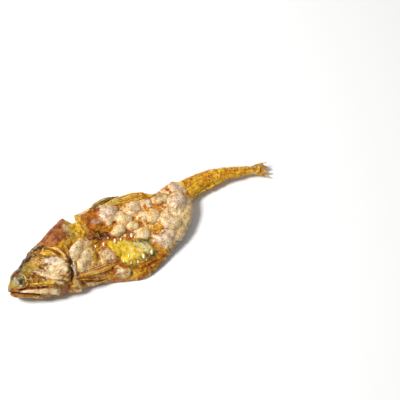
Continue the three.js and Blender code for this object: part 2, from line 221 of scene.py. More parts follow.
flesh = curves(
    "s top low left right mid gut",
    [
        (0.0, 0.9, -3.7, 1.9, 1.9, -1.4, 0),
        (1.5, 2.5, -4.9, 3.0, 3.0, -1.2, 0),
        (3.7, 4.4, -6.2, 4.3, 4.3, -1.0, 0),
        (9.5, 7.0, -9.0, 6.0, 6.0, -0.9, 0),
        (15.8, 10.4, -11.2, 7.0, 7.0, -0.6, 0),
        (21.2, 12.5, -12.4, 7.4, 7.4, -0.3, 0),
        (25.1, 14.4, -14.0, 7.3, 7.2, 0.0, 0),
        (27.0, 15.4, -14.6, 7.1, 6.8, 0.8, 0),
        (29.5, 16.5, -13.8, 6.7, 6.2, 1.8, 0.1),
        (32.5, 17.5, -13.0, 6.2, 5.4, 3.0, 0.5),
        (35.6, 14.0, -13.0, 5.6, 4.8, 3.2, 0.9),
        (40.0, 16.4, -14.0, 5.2, 4.2, 3.2, 1),
        (47.0, 18.2, -16.2, 4.9, 3.8, 3.2, 1),
        (54.0, 17.4, -17.8, 4.6, 3.6, 3.2, 1),
        (64.0, 13.4, -14.6, 4.4, 3.4, 2.8, 1),
        (72.0, 11.8, -9.2, 4.3, 3.3, 3.0, 1),
        (80.0, 11.8, -2.8, 4.2, 3.3, 4.4, 0.4),
        (88.0, 11.4, 0.4, 3.6, 3.2, 5.8, 0),
        (98.0, 9.6, 1.8, 2.9, 2.8, 5.7, 0),
        (108.0, 8.0, 2.3, 2.2, 2.1, 5.2, 0),
        (116.0, 7.0, 2.9, 1.6, 1.5, 5.0, 0),
        (LENGTH, 6.4, 3.4, 0.9, 0.9, 4.9, 0),
    ],
)
flank = curves(
    "s top low crown mid",
    [
        (28.0, 13.0, -13.4, 7.3, 1.6),
        (36.0, 16.2, -13.6, 6.4, 3.2),
        (41.6, 17.8, -15.0, 5.9, 3.2),
        (47.0, 19.0, -16.8, 5.6, 3.2),
        (54.0, 18.2, -18.8, 5.3, 3.2),
        (62.0, 14.8, -16.8, 5.0, 2.8),
        (68.0, 13.0, -13.6, 5.0, 2.6),
        (75.0, 12.6, -10.6, 5.0, 2.8),
        (81.0, 12.9, -7.0, 4.8, 3.6),
        (86.6, 12.7, -1.2, 4.4, 5.6),
        (90.5, 11.0, 6.6, 3.2, 8.6),
    ],
)
lie = curves(
    "s heading roll height",
    [
        (-2, 0, 34, 6.2),
        (14, 0, 34, 8.0),
        (24, 0, 31, 8.6),
        (34, 0, 20, 6.8),
        (46, 0, 8, 3.9),
        (62, 0, 3, 3.1),
        (76, 8, 3, 3.0),
        (90, 15, 6, 3.1),
        (104, -8, 10, 3.0),
        (LENGTH + 4, -24, 14, 1.6),
    ],
)
print("the fish is", LENGTH, "mm long and", round(float(flesh.top(47) - flesh.low(47)), 1), "mm deep")

# %% [markdown]
# ## Laying it down
# The spine is a path over the floor. A point of the straight fish is set off from it sideways and
# upwards, turned by the roll of the body at that place: the head lies a third of the way up, and the
# flank lies flat. Every mesh goes through this one function, so what touches always fits.

# %% From the straight fish to the floor
SPINE_START = -4  # the s at which the path of the spine begins, before the jaws
ORIGIN = np.array([63.5, 0.9])  # the point of the path that lies in the middle of the frame
turns = np.radians(lie.heading(np.arange(SPINE_START, LENGTH + 8) + 0.5))
spine_steps = np.stack([np.cos(turns), np.sin(turns)], axis=1)
spine = np.vstack([[[SPINE_START, 0]], [SPINE_START, 0] + np.cumsum(spine_steps, axis=0)])


def place(s, d, l):
    """Millimetres on the straight fish to millimetres over the floor."""
    s, d, l = np.broadcast_arrays(*(np.asarray(x, float) for x in (s, d, l)))
    along = np.clip(s - SPINE_START, 0, len(spine) - 2)
    step = np.floor(along).astype(int)
    foot = mix(spine[step], spine[step + 1], (along - step)[..., None]) - ORIGIN
    turn, roll = np.radians(lie.heading(s)), np.radians(lie.roll(s))
    aside = d * np.cos(roll) - l * np.sin(roll)
    up = lie.height(s) + d * np.sin(roll) + l * np.cos(roll)
    x = foot[..., 0] - aside * np.sin(turn)
    y = foot[..., 1] + aside * np.cos(turn)
    return np.stack([x, y, up], axis=-1)


print("the eye is at", place(EYE.s, EYE.d, 5).round(1), "mm")

# %% [markdown]
# ## Wrinkles, lumps and pores
# Skin that dries shrinks over what is under it, in wrinkles, lumps and pores of every size. Noise does
# that well, if it is steady: a value for each corner of a lattice, worked out from the corner's own
# numbers, and blended between corners. It is read at points of the straight fish, so it follows the body.

# %% Noise on the straight fish


def corner_value(corner, seed):
    """A steady random value from 0 to 1 for each whole-numbered corner."""
    mixed = corner[..., 0] * 374761393 + corner[..., 1] * 668265263 + corner[..., 2] * 2147483647
    mixed = (mixed + seed * 974711) & 0xFFFFFFFF
    mixed = ((mixed ^ (mixed >> 13)) * 1274126177) & 0xFFFFFFFF
    return ((mixed ^ (mixed >> 16)) & 0xFFFF) / 0xFFFF


def noise(points, size, seed):
    """Smooth noise from -1 to 1 with lumps of that size, in millimetres; size may be one per axis."""
    scaled = points / size
    corner = np.floor(scaled).astype(np.int64)
    part = scaled - corner
    part = part * part * (3 - 2 * part)
    total = np.zeros(points.shape[:-1])
    for i in (0, 1):
        for j in (0, 1):
            for k in (0, 1):
                step = np.array([i, j, k])
                weight = np.prod(np.where(step == 1, part, 1 - part), axis=-1)
                total += weight * corner_value(corner + step, seed)
    return 2 * total - 1


def grain(points, size, seed, layers=3):
    """Noise with finer noise on it, each layer half the size and half the strength."""
    size = np.array(size, float)
    return sum(noise(points, size / 2**k, seed + k) / 2**k for k in range(layers))


def folds(points, size, seed):
    """Sharp-backed folds from 0 to 1, such as wrinkles and strands."""
    return (1 - np.abs(noise(points, size, seed))) ** 3


def on_line(x):
    """Points on one line, for noise that only changes along an edge."""
    return np.stack([x, 0 * x, 0 * x], axis=-1)


def on_sheet(s, d):
    """Points on the middle sheet of the straight fish, for noise that has no depth."""
    return np.stack([s, d, 0 * s], axis=-1)


def cells(points, size, seed):
    """How far each point is from the nearest of scattered seeds, in units of size."""
    scaled = points / size
    corner = np.floor(scaled).astype(np.int64)
    nearest = np.full(points.shape[:-1], 9.0)
    for i in (-1, 0, 1):
        for j in (-1, 0, 1):
            for k in (-1, 0, 1):
                there = corner + np.array([i, j, k])
                jitter = np.stack([corner_value(there, seed + n) for n in (0, 1, 2)], axis=-1)
                nearest = np.minimum(nearest, np.linalg.norm(there + jitter - scaled, axis=-1))
    return nearest


sample = noise(on_line(np.arange(0, 50, 0.1)), 3, 1)
print("noise along 50 mm runs from", sample.min().round(2), "to", sample.max().round(2))

# %% [markdown]
# ## Form of the head
# The same forms as in the solid: the plate of the gill cover with its rear rim, the cheek, the brow over
# the sunken socket, the collar behind the rim, the dip of the nape and the hump of dried muscle behind it.
# They could be sculpted, but as soft bumps each has a place and a height that can be changed by a number.

# %% Form of the head
FULLNESS = 2.2  # how square the sections are: 2 is an ellipse


def profile(x):
    """Half the thickness of a section, x from -1 at its belly to 1 at its back, as a share of the whole."""
    return np.sqrt(clamp01(1 - np.abs(x) ** FULLNESS))


def gill_edge(d):
    """The rear rim of the gill cover, an arc that leans forward over its top."""
    return GILL - 0.035 * (d - 0.5) ** 2 - 0.0005 * np.maximum(0, d - 0.5) ** 4


def mouth_line(s):
    return -1.8 - 0.54 * s


def lip_line(s):
    return -0.2 - 0.35 * s


def spot(s, d, at_s, at_d, size):
    """1 at a place on the straight fish, fading to nothing at about twice the size."""
    return np.exp(-(((s - at_s) ** 2 + (d - at_d) ** 2) / size**2))


def head_relief(s, d):
    cover = smooth(15, 18.5, s + 0.1 * d) * (1 - smooth(-0.4, 0.6, s - gill_edge(d)))
    plate = (0.35 + 0.55 * smooth(18, 26, s)) * cover * bump(d + 0.5, 9.5)
    cheek = 0.5 * spot(s, d, 13, -1, 3.6)
    brow = 0.6 * bump(np.hypot(s - 7.2, (d - 5.2) * 1.6), 2.8)
    socket = -0.6 * spot(s, d, EYE.s, EYE.d, EYE.radius)
    temple = -0.5 * bump(np.hypot((s - 11.5) * 0.7, d - 4.8), 2.2)
    collar = 0.5 * bump(s - gill_edge(d) - 2.3, 1.0) * smooth(13, 6, d)
    nape = -0.9 * bump(s - 22.3, 1.1) * smooth(8, 11, d)
    hump = 1.5 * spot(s, d, 30, 11.5, 4.6)
    return plate + cheek + brow + socket + temple + collar + nape + hump


print("the gill cover ends", round(float(gill_edge(0.5)), 1), "mm behind the jaws")

# %% [markdown]
# ## Form of the flesh
# Each section of the flesh is rounded, with a left and a right half of its own. Where the belly lies open
# only a wall is left of it, along the floor, and nothing reaches lower than the ground it dried on.

# %% Form of the flesh
WALL = 1.2  # thickness of the dried belly wall


def ground_at(s, d):
    """The l at which the straight fish touches the floor."""
    roll = np.radians(lie.roll(s))
    return -(lie.height(s) + d * np.sin(roll)) / np.cos(roll)


def flesh_sides(s, d, x, blunt):
    """Left and right surface; the opened belly leaves only the right wall, along the floor."""
    relief = head_relief(s, d) * profile(x) ** 0.5 * blunt
    ground = ground_at(s, d)
    right = np.maximum(-flesh.right(s) * blunt * profile(x) - relief, ground - 0.3)
    wall = np.maximum(right, ground) + WALL * np.minimum(1, 3 * profile(x))
    opened = flesh.gut(s) * smooth(-3, -7, d)
    return mix(flesh.left(s) * blunt * profile(x) + relief, wall, opened), right


def flesh_depth(s, t):
    """The d of the section's outline at s, at the angle t round it, with its share and bluntness."""
    x = np.cos(t)
    blunt = np.sqrt(clamp01(1 - (1 - clamp01((s + 0.3) / 2.4)) ** 2))
    mid = flesh.mid(s)
    d = mid + x * blunt * np.where(x > 0, flesh.top(s) - mid, mid - flesh.low(s))
    return d, x, blunt


def flesh_point(s, t):
    d, x, blunt = flesh_depth(s, t)
    left, right = flesh_sides(s, d, x, blunt)
    return d, np.where(np.sin(t) > 0, left, right)


def flesh_height(s, d, side):
    """The l of the flesh at that place, on its left side (1) or its right (-1)."""
    mid = flesh.mid(s)
    x = (d - mid) / np.where(d > mid, flesh.top(s) - mid, mid - flesh.low(s))
    return flesh_sides(s, d, np.clip(x, -1, 1), 1)[0 if side > 0 else 1]


print("the hump is", (flesh_height(30, 11.5, 1) - flesh_height(30, 11.5, -1)).round(1), "mm thick")

# %% [markdown]
# ## Blisters and the window
# As the skin dried, air and oil pushed it off the flesh in blisters, which shrank into uneven pillows.
# The large ones are the solid's, each a place, a radius and a height, with their borders bent by noise so
# that no two look alike. Lower down the skin sank between the ribs instead, in one long dished window.

# %% Blisters and the flank
BLISTERS = [
    (50.8, 12.2, 4.2, 1.9), (55.8, 7.7, 2.8, 1.6), (63.0, 10.0, 3.2, 1.4), (70.2, 9.6, 2.3, 1.1),
    (76.2, 8.4, 2.8, 1.4), (82.2, 3.2, 4.1, 1.7), (85.6, 8.8, 3.2, 1.2), (68.6, 2.4, 2.9, 1.4),
    (73.0, -3.2, 3.2, 1.5), (52.0, 2.6, 2.6, 1.6), (61.9, -2.8, 2.5, 1.6), (58.4, 2.8, 2.2, 1.1),
    (64.4, 4.6, 2.2, 1.0), (68.6, -8.6, 3.3, 1.0), (43.6, 8.8, 2.0, 0.8), (43.6, -5.2, 3.6, 1.2),
    (46.6, -13.0, 3.1, 1.1), (30.8, 2.2, 3.2, 0.9), (34.8, -2.2, 2.6, 0.9), (31.2, -4.4, 2.3, 0.7),
]
WINDOW = SimpleNamespace(s=54, d=-7.6, length=12, width=4.2, slant=-0.28, depth=0.7)


def blister(s, d, bubbles=BLISTERS):
    """Height of the blisters: uneven pillows that run into each other."""
    s, d = np.broadcast_arrays(s, d)
    at = on_sheet(s, d)
    lean = [1.3 * noise(at, 4.8, seed) + 0.6 * noise(at, 2.0, seed + 1) for seed in (501, 601)]
    total = np.zeros(s.shape)
    for at_s, at_d, radius, height in bubbles:
        near = 1 - ((s + lean[0] - at_s) ** 2 + (d + lean[1] - at_d) ** 2) / (1.25 * radius) ** 2
        total += (0.76 * height * clamp01(near) ** 0.78) ** 3
    return np.cbrt(total)


def window(s, d):
    across = d - WINDOW.d - WINDOW.slant * (s - WINDOW.s)
    return np.exp(-(((s - WINDOW.s) / WINDOW.length) ** 4) - (across / WINDOW.width) ** 4)


def flank_height(s, d):
    top, low, mid = flank.top(s), flank.low(s), flank.mid(s)
    share = profile((d - mid) / np.where(d > mid, top - mid, mid - low))
    edge = np.where(d > mid, 0.6, mix(-1.2, 1.4, smooth(58, 78, s)))
    waves = 0.25 * np.sin(s * 0.55 + d * 0.35) * share
    return mix(edge, flank.crown(s), share) + waves + blister(s, d) - WINDOW.depth * window(s, d)


def flank_front(v):
    return mix(SKIN.front, SKIN.rim, smooth(0.6, 0.7, v)) + 0.4 * np.sin(v * 19)


print(len(BLISTERS), "large blisters")

# %% [markdown]
# ## Patches
# Where the skin dried pale, red or dark by chance, a list for each mark says so: the place of a patch on
# the straight fish, how long and wide it is, how it leans and how strong it is.

# %% Patches on the straight fish


def patched(marks, at, patches):
    """Adds soft oval patches to the marks."""
    s, d = at[..., 0], at[..., 1]
    for mark, rows in patches.items():
        for at_s, at_d, length, width, lean, strength in rows:
            turn = math.radians(lean)
            along = (s - at_s) * math.cos(turn) + (d - at_d) * math.sin(turn)
            across = (d - at_d) * math.cos(turn) - (s - at_s) * math.sin(turn)
            oval = np.exp(-((along / length) ** 2) - (across / width) ** 2)
            marks[mark] = marks.get(mark, 0) + strength * oval
    return marks


probe = patched({}, np.array([0, 2, 0]), {"dark": [(0, 0, 4, 2, 0, 1)]})
print("2 mm from its middle, a patch 2 mm wide has", probe["dark"].round(2), "of its strength left")

# %% [markdown]
# ## Grids of points
# Every skin of this fish starts as a grid of points. Fine relief is pushed out along the surface's own
# normal, so that it also shows on the outline, which a bump in the material can't do. What lies higher or
# lower than the blurred relief around it is a crest or a fold, and gets a painted highlight or painted
# shade.

# %% Grids of points


def normals(grid, wrap):
    """The normal at each point of a grid of points; wrap says whether the second way round is closed."""
    along = np.gradient(grid, axis=0)
    if wrap:
        around = (np.roll(grid, -1, axis=1) - np.roll(grid, 1, axis=1)) / 2
    else:
        around = np.gradient(grid, axis=1)
    out = np.cross(around, along)
    return out / np.maximum(np.linalg.norm(out, axis=-1, keepdims=True), 1e-9)


def pushed_out(grid, relief, wrap):
    """The grid of points with its relief, in millimetres, pushed out along its normals."""
    return grid + normals(grid, wrap) * relief[..., None]


def blurred(values, radius, wrap):
    """Each value of a grid replaced by the mean around it."""
    for axis in (0, 1):
        ends = "wrap" if wrap and axis == 1 else "edge"
        pad = [(radius, radius) if a == axis else (0, 0) for a in (0, 1)]
        sums = np.cumsum(np.pad(values, pad, mode=ends), axis=axis)
        zero = np.zeros_like(np.take(sums, [0], axis=axis))
        sums = np.concatenate([zero, sums], axis=axis)
        n = values.shape[axis]
        upper = np.take(sums, np.arange(n) + 2 * radius + 1, axis=axis)
        values = (upper - np.take(sums, np.arange(n), axis=axis)) / (2 * radius + 1)
    return values


flat_grid = np.stack(np.meshgrid(range(3), range(3), [0], indexing="ij"), axis=-1)[:, :, 0].astype(float)
print("the normal of a flat grid is", normals(flat_grid, False)[1, 1])

# %% [markdown]
# ## From points to meshes
# Beside its points and faces a piece carries marks: values from 0 to 1 at each point that say how cream,
# yellow, red or dark it dried there. The material reads them by their names. No point may lie lower than
# the floor, and the faces have to point outwards.

# %% Points, faces and marks


def grid_faces(rows, columns, wrap, start=0):
    """The four-sided faces between the points of a grid whose points are numbered from start."""
    i = np.arange(rows - 1)[:, None]
    j = np.arange(columns if wrap else columns - 1)[None, :]
    after = (j + 1) % columns
    corners = [i * columns + j, (i + 1) * columns + j, (i + 1) * columns + after, i * columns + after]
    return start + np.stack([np.broadcast_to(c, (rows - 1, j.size)) for c in corners], -1).reshape(-1, 4)


FLOOR_GAP = 0.02  # millimetres that every piece keeps from the floor's own plane


def inside_out(points, faces):
    """Whether the faces of a closed mesh point inwards, which makes its volume negative."""
    a, b, c = (points[[f[k] for f in faces]] for k in (0, 1, 2))
    return np.einsum("ij,ij->", a, np.cross(b, c)) < 0


def mark_points(mesh, mark, values):
    """Gives each point of the mesh its own value of that mark."""
    made = mesh.attributes.new(mark, "FLOAT", "POINT")
    made.data.foreach_set("value", np.ravel(values).astype(np.float32))


def piece(name, points, faces, material, marks):
    """A mesh object from points in millimetres, never lower than the floor, its faces outwards."""
    points = np.array(points, float).reshape(-1, 3)
    points[:, 2] = np.maximum(points[:, 2], FLOOR_GAP)
    if inside_out(points, faces):
        faces = [f[::-1] for f in faces]
    mesh = bpy.data.meshes.new(name)
    mesh.from_pydata((points * MM).tolist(), [], [list(map(int, f)) for f in faces])
    mesh.polygons.foreach_set("use_smooth", [True] * len(mesh.polygons))
    for mark, values in marks.items():
        mark_points(mesh, mark, clamp01(values))
    mesh.materials.append(material)
    return in_scene(name, mesh)


print("a sheet of 5 by 4 points has", len(grid_faces(5, 4, False)), "faces")

# %% [markdown]
# ## Two kinds of piece
# A piece is either lofted rings closed at both ends or a slab between two sheets, so both are closed
# bodies. Each one rides on the body of the solid and takes its place.

# %% Lofts and slabs


def loft(name, grid, pole0, pole1, material, marks):
    """Rings of points, closed at a pole at either end."""
    rows, columns = grid.shape[:2]
    points = np.vstack([grid.reshape(-1, 3), [pole0], [pole1]])
    first, last = rows * columns, rows * columns + 1
    faces = grid_faces(rows, columns, True).tolist()
    end = (rows - 1) * columns
    for j in range(columns):
        after = (j + 1) % columns
        faces.append([first, j, after])
        faces.append([last, end + after, end + j])
    marks = {m: np.broadcast_to(v, (rows, columns)) for m, v in marks.items()}
    marks = {m: np.append(v.ravel(), [v[0].mean(), v[-1].mean()]) for m, v in marks.items()}
    return piece(name, points, faces, material, marks)


def slab(name, upper, lower, material, marks, swell=0.12):
    """A sheet with thickness: two grids of points, joined by a rounded edge."""
    rows, columns = upper.shape[:2]
    rim = [(i, 0) for i in range(rows)] + [(rows - 1, j) for j in range(1, columns)]
    rim += [(i, columns - 1) for i in range(rows - 2, -1, -1)] + [(0, j) for j in range(columns - 2, 0, -1)]
    rim = np.array(rim)
    inner = np.clip(rim, 1, [rows - 2, columns - 2])
    middle = (upper + lower) / 2
    at_rim, inside = middle[rim[:, 0], rim[:, 1]], middle[inner[:, 0], inner[:, 1]]
    away = at_rim - inside
    away /= np.maximum(np.linalg.norm(away, axis=1, keepdims=True), 1e-9)
    points = np.vstack([upper.reshape(-1, 3), lower.reshape(-1, 3), at_rim + swell * away])
    faces = grid_faces(rows, columns, False).tolist()
    size = rows * columns
    faces += grid_faces(rows, columns, False, size)[:, ::-1].tolist()
    flat = rim[:, 0] * columns + rim[:, 1]
    for k in range(len(rim)):
        n = (k + 1) % len(rim)
        faces.append([flat[n], flat[k], 2 * size + k, 2 * size + n])
        faces.append([2 * size + n, 2 * size + k, size + flat[k], size + flat[n]])
    marks = {m: np.broadcast_to(v, (rows, columns)).ravel() for m, v in marks.items()}
    marks = {m: np.concatenate([v, v, v[flat]]) for m, v in marks.items()}
    return piece(name, points, faces, material, marks)


def finished(made):
    """Every piece of the fish rides on its one body and stands for its one solid."""
    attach(made, "root")
    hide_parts(NODE)
    triangles = sum(len(p.vertices) - 2 for p in made.data.polygons)
    print(made.name, "has", triangles, "triangles")


print("a tube of 5 rings of 4 points has", len(grid_faces(5, 4, True)), "faces between its ends")

# %% [markdown]
# ## Layers of colour
# Every finish of the fish is built up in layers, as the real one dried: a base of two tones, then one pair
# of tones for each mark that the points carry, and dirt on top. One helper adds a node, and the others add
# a whole layer. Patterns are given in millimetres, and the helper turns a size into a scale.

# %% Layers of colour


def add(tree, kind, inputs=None, **settings):
    """One node of that kind, with its settings, and its inputs as values or as other nodes' outputs."""
    node = tree.nodes.new(kind)
    for name, value in settings.items():
        setattr(node, name, value)
    for name, value in (inputs or {}).items():
        if isinstance(value, bpy.types.NodeSocket):
            tree.links.new(value, node.inputs[name])
        else:
            node.inputs[name].default_value = value
    return node


def scale_for(size):
    """The scale of a pattern whose lumps are that many millimetres across."""
    return 1 / (size * MM)


def painted(tree, colour, share, spread, low, high):
    """The colour with another one, of two tones, laid over it as far as share says."""
    tones = {0: spread, 6: linear(low), 7: linear(high)}
    tone = add(tree, "ShaderNodeMix", tones, data_type="RGBA").outputs[2]
    return add(tree, "ShaderNodeMix", {0: share, 6: colour, 7: tone}, data_type="RGBA").outputs[2]


def with_marks(tree, colour, rows, flecks, spread):
    """The colour with each mark's own two tones laid over it; the flecks fray its border."""
    for mark, low, high in rows:
        strength = add(tree, "ShaderNodeAttribute", attribute_name=mark).outputs["Fac"]
        fray = {0: flecks, 1: 1.3, 2: strength}
        frayed = add(tree, "ShaderNodeMath", fray, operation="MULTIPLY_ADD").outputs[0]
        border = {"Value": frayed, "From Min": 0.82, "From Max": 1.5}
        share = add(tree, "ShaderNodeMapRange", border, interpolation_type="SMOOTHSTEP").outputs[0]
        colour = painted(tree, colour, share, spread, low, high)
    return colour


def with_dirt(tree, colour, dirt, rows):
    """The colour darkened by each pattern's tint where the pattern is low, as far as dirt says."""
    for amount, tint, low_at, high_at in rows:
        reach = {"Value": amount, "From Min": low_at, "From Max": high_at}
        clear = add(tree, "ShaderNodeMapRange", reach).outputs[0]
        tints = {0: clear, 6: linear(tint), 7: linear("#fffdf4")}
        stain = add(tree, "ShaderNodeMix", tints, data_type="RGBA").outputs[2]
        darker = {0: dirt, 6: colour, 7: stain}
        colour = add(tree, "ShaderNodeMix", darker, data_type="RGBA", blend_type="MULTIPLY").outputs[2]
    return colour


print("a pattern of 1 mm has a scale of", round(scale_for(1)))

# %% [markdown]
# ## The dried skin
# Fish skin and flesh that has dried in its own oil: amber to ochre where it is thin, cream and pinkish
# where it lifted off the flesh, red-brown where it is meat, nearly black in the deepest cracks. It is
# oily, so it is fairly smooth with a thin clear coat, and a little light passes through it. Noise of a
# little over two millimetres mottles it, flecks of one millimetre fray the borders of the marks, and grit
# of half a millimetre and pores that lie 1.3 millimetres apart do the rest.

# %% The dried skin
MARKS = (  # the lower and the higher tone of each mark, in the order in which they are laid on
    ("yellow", "#dc9608", "#ffdc44"),
    ("cream", "#dcb276", "#fff2d6"),
    ("olive", "#5c500a", "#a8963a"),
    ("lilac", "#c2a492", "#f4e9e4"),
    ("red", "#6c2600", "#b05608"),
    ("meat", "#74360e", "#b87640"),
    ("glass", "#dcae08", "#ffe23c"),
    ("pale", "#b9b070", "#f4f0d4"),
    ("dark", "#241002", "#54300a"),
)
MOTTLE = 2.38  # millimetres across one lump of each pattern
FLECK = 1.0
GRIT = 0.435
PORE = 1.316


def dried_skin(name, deep, light, rough=(0.25, 0.5), relief=1.0, coat=0.12, stained=1.0):
    """Dried skin, from its deepest tone to its lightest, with marks on top."""
    settings = {
        "IOR": 1.45,
        "Specular IOR Level": 0.22,
        "Subsurface Weight": 0.2,
        "Subsurface Radius": (1.0, 0.5, 0.2),
        "Subsurface Scale": 1.2 * MM,
        "Coat Weight": coat,
        "Coat Roughness": 0.15,
    }
    made, tree, surface = new_finish(name, settings)
    here = add(tree, "ShaderNodeTexCoord").outputs["Object"]
    mottle, flecks, grit = (
        add(
            tree,
            "ShaderNodeTexNoise",
            {"Vector": here, "Scale": scale_for(size), "Detail": detail, "Roughness": roughness},
        ).outputs["Fac"]
        for size, detail, roughness in ((MOTTLE, 5, 0.62), (FLECK, 4, 0.65), (GRIT, 2, 0.6))
    )
    scattered = {"Vector": here, "Scale": scale_for(PORE)}
    pores = add(tree, "ShaderNodeTexVoronoi", scattered).outputs["Distance"]
    between = {"Value": mottle, "From Min": 0.38, "From Max": 0.62}
    spread = add(tree, "ShaderNodeMapRange", between).outputs[0]
    base = {0: spread, 6: linear(deep), 7: linear(light)}
    colour = add(tree, "ShaderNodeMix", base, data_type="RGBA").outputs[2]
    colour = with_marks(tree, colour, MARKS, flecks, spread)
    # The glassy skin over the window is clear, so it shows less dirt, and it is the smoothest.
    glassy = add(tree, "ShaderNodeAttribute", attribute_name="glass").outputs["Fac"]
    less = {0: glassy, 1: -0.6 * stained, 2: stained}
    dirt = add(tree, "ShaderNodeMath", less, operation="MULTIPLY_ADD").outputs[0]
    brown_flecks = (flecks, "#b88444", 0.3, 0.44)
    dark_grit = (grit, "#bf9a6c", 0.32, 0.48)
    dark_pores = (pores, "#a87a50", 0.08, 0.24)
    colour = with_dirt(tree, colour, dirt, (brown_flecks, dark_grit, dark_pores))
    tree.links.new(colour, surface.inputs["Base Color"])
    reach = {"Value": grit, "From Min": 0.35, "From Max": 0.65, "To Min": rough[0], "To Max": rough[1]}
    gloss = add(tree, "ShaderNodeMapRange", reach).outputs[0]
    smoother = {0: glassy, 1: -0.12, 2: gloss}
    polish = add(tree, "ShaderNodeMath", smoother, operation="MULTIPLY_ADD").outputs[0]
    tree.links.new(polish, surface.inputs["Roughness"])
    coarse = {"Height": flecks, "Strength": 0.9 * relief, "Distance": 0.6 * MM}
    lumps = add(tree, "ShaderNodeBump", coarse).outputs[0]
    fine = {"Height": grit, "Strength": 0.7 * relief, "Distance": 0.25 * MM, "Normal": lumps}
    pitted = add(tree, "ShaderNodeBump", fine).outputs[0]
    tree.links.new(pitted, surface.inputs["Normal"])
    return made


# Thin skin over the bones of the head: dark and oily, with a smooth sheen and few stains.
head_finish = dried_skin(
    "oiled_head_skin", "#6a3e06", "#b07e22", rough=(0.2, 0.45), relief=0.6, coat=0.08, stained=0.6
)
# Bare muscle and the thin skin of the tail: the reddest, rough and stained, so it looks dull.
trunk_finish = dried_skin("dried_flesh", "#864200", "#d88c14")
# Loose skin that dried off the flesh: amber in its folds, and leathery.
flank_finish = dried_skin("blistered_flank_skin", "#904800", "#d88c12", relief=0.85)
# Web and rays of the fins: straw yellow, thin and hard, with a dry sheen.
fin_finish = dried_skin("dried_fin_rays", "#b0660a", "#f0b440", rough=(0.3, 0.5), relief=0.6)
print("materials:", [m.name for m in bpy.data.materials])

# %% [markdown]
# ## The head's rear rim
# The head is one shell of skin over bone, from the jaws to the rear rim of the gill cover. Its last ring
# has to follow that rim, but how far back the rim lies depends on how high up it is, and how high up the
# ring is depends on how far back it lies. Halving a bracket finds the place for each angle.

# %% The head's rear rim
SHORTEST = 17.4  # the head reaches at least this far back, also under the throat
BRACKET = (15.0, 32.0)
HALVINGS = 30


def rear_edge(t):
    """For each angle round the head, the s at which it meets the gill edge."""
    near, far = (np.full(t.shape, end) for end in BRACKET)
    for _ in range(HALVINGS):
        half = (near + far) / 2
        behind = half > np.maximum(gill_edge(flesh_depth(half, t)[0]), SHORTEST)
        near, far = np.where(behind, near, half), np.where(behind, half, far)
    return near


def gill_slit(d):
    """1 where the gill cover stands off the body, 0 above and below, where it lies on."""
    return smooth(-9.0, -7.0, d) * smooth(1.2, -0.8, d)


def cover_top(d):
    """1 on the upper part of the gill cover, where a double band of bone runs along its rim."""
    return smooth(0, 3, d) * smooth(9.4, 7.2, d)


print("the head's rim lies", rear_edge(np.array([0.0, np.pi])).round(1), "mm back at the nape and throat")

# %% [markdown]
# ## Relief of the head
# Over the solid's cheek, brow and socket come the fine forms: the gap of the mouth with the bones of both
# jaws, lids, strands that fan over the cheek, wrinkles, the double band along the gill cover and its
# notches. They are sums of bumps along lines and of folded noise, calmed on bones and cheek.

# %% Relief of the head


def head_detail(at):
    """Fine relief of the head in millimetres, at points of the straight fish."""
    s, d = at[..., 0], at[..., 1]
    wave = 0.5 * noise(at, 4.0, 11)
    warped = at + wave[..., None]
    shut = 1 - smooth(MOUTH_CORNER - 3, MOUTH_CORNER, s)
    gap = -1.4 * bump(d - mouth_line(s) - 0.2 * wave, 0.52) * shut
    groove = -0.6 * bump(d - lip_line(s) + 0.45 - 0.5 * wave, 0.45) * smooth(2.5, 5, s) * smooth(17, 14, s)
    middle = (lip_line(s) + mouth_line(s)) / 2
    upper_bone = 0.4 * bump(d - middle, 0.3 + 0.075 * s) * smooth(1, 4, s) * smooth(19, 16, s)
    lower_bone = 0.3 * bump(d - mouth_line(s) + 1.3, 0.9) * smooth(20, 12, s)
    from_eye = np.hypot(s - EYE.s, d - EYE.d)
    lids = 0.3 * bump(from_eye - 3.4, 0.5) - 0.25 * bump(from_eye - 4.4, 0.6)
    fan = np.arctan2(d - 7.0, s - 9.0)
    rays = np.stack([9 * fan, np.hypot(d - 7.0, s - 9.0) / 6 + wave, 0 * s], axis=-1)
    strands = 0.5 * folds(rays, 1.0, 21) * smooth(9, 12, s) * smooth(25, 22, s)
    lengthwise = warped @ np.array([[0.8, 0.6, 0], [-0.6, 0.8, 0], [0, 0, 1]])
    wrinkles = 0.34 * folds(lengthwise, [3.6, 1.0, 3.0], 22) * smooth(6, 9, s)
    crinkle = 0.34 * folds(warped, [1.8, 1.3, 1.6], 31) * smooth(18, 22, s - 0.35 * d)
    edge = s - gill_edge(d)
    band = 0.35 * bump(edge + 1.1, 0.7) - 0.35 * bump(edge + 2.4, 0.8) + 0.2 * bump(edge + 3.5, 0.6)
    band = band * cover_top(d)
    notches = -0.5 * smooth(-2.0, 0, edge) * folds(at, [2.5, 0.8, 2.5], 41) * smooth(3, 0, d)
    bony = bump((d - middle) / (0.3 + 0.075 * s), 1.2) * smooth(2, 5, s) * smooth(19, 16, s)
    calm = (1 - 0.85 * spot(s, d, 20.9, 3.2, 3.0)) * (1 - 0.8 * bony)
    pits = -0.5 * smooth(0.3, 0.1, cells(at, 2.6, 43)) * smooth(4.5, 7.5, d)
    rough = 0.05 * grain(at, 1.2, 51) + 0.22 * noise(at, 3.2, 61)
    bones = gap + groove + upper_bone + lower_bone + lids + band + notches + pits
    return bones + calm * (strands + wrinkles + crinkle + rough)


lips = head_detail(np.array([[6.0, mouth_line(6.0), 0.0]]))
print("the mouth is", -lips[0].round(1), "mm deep 6 mm behind the tip")
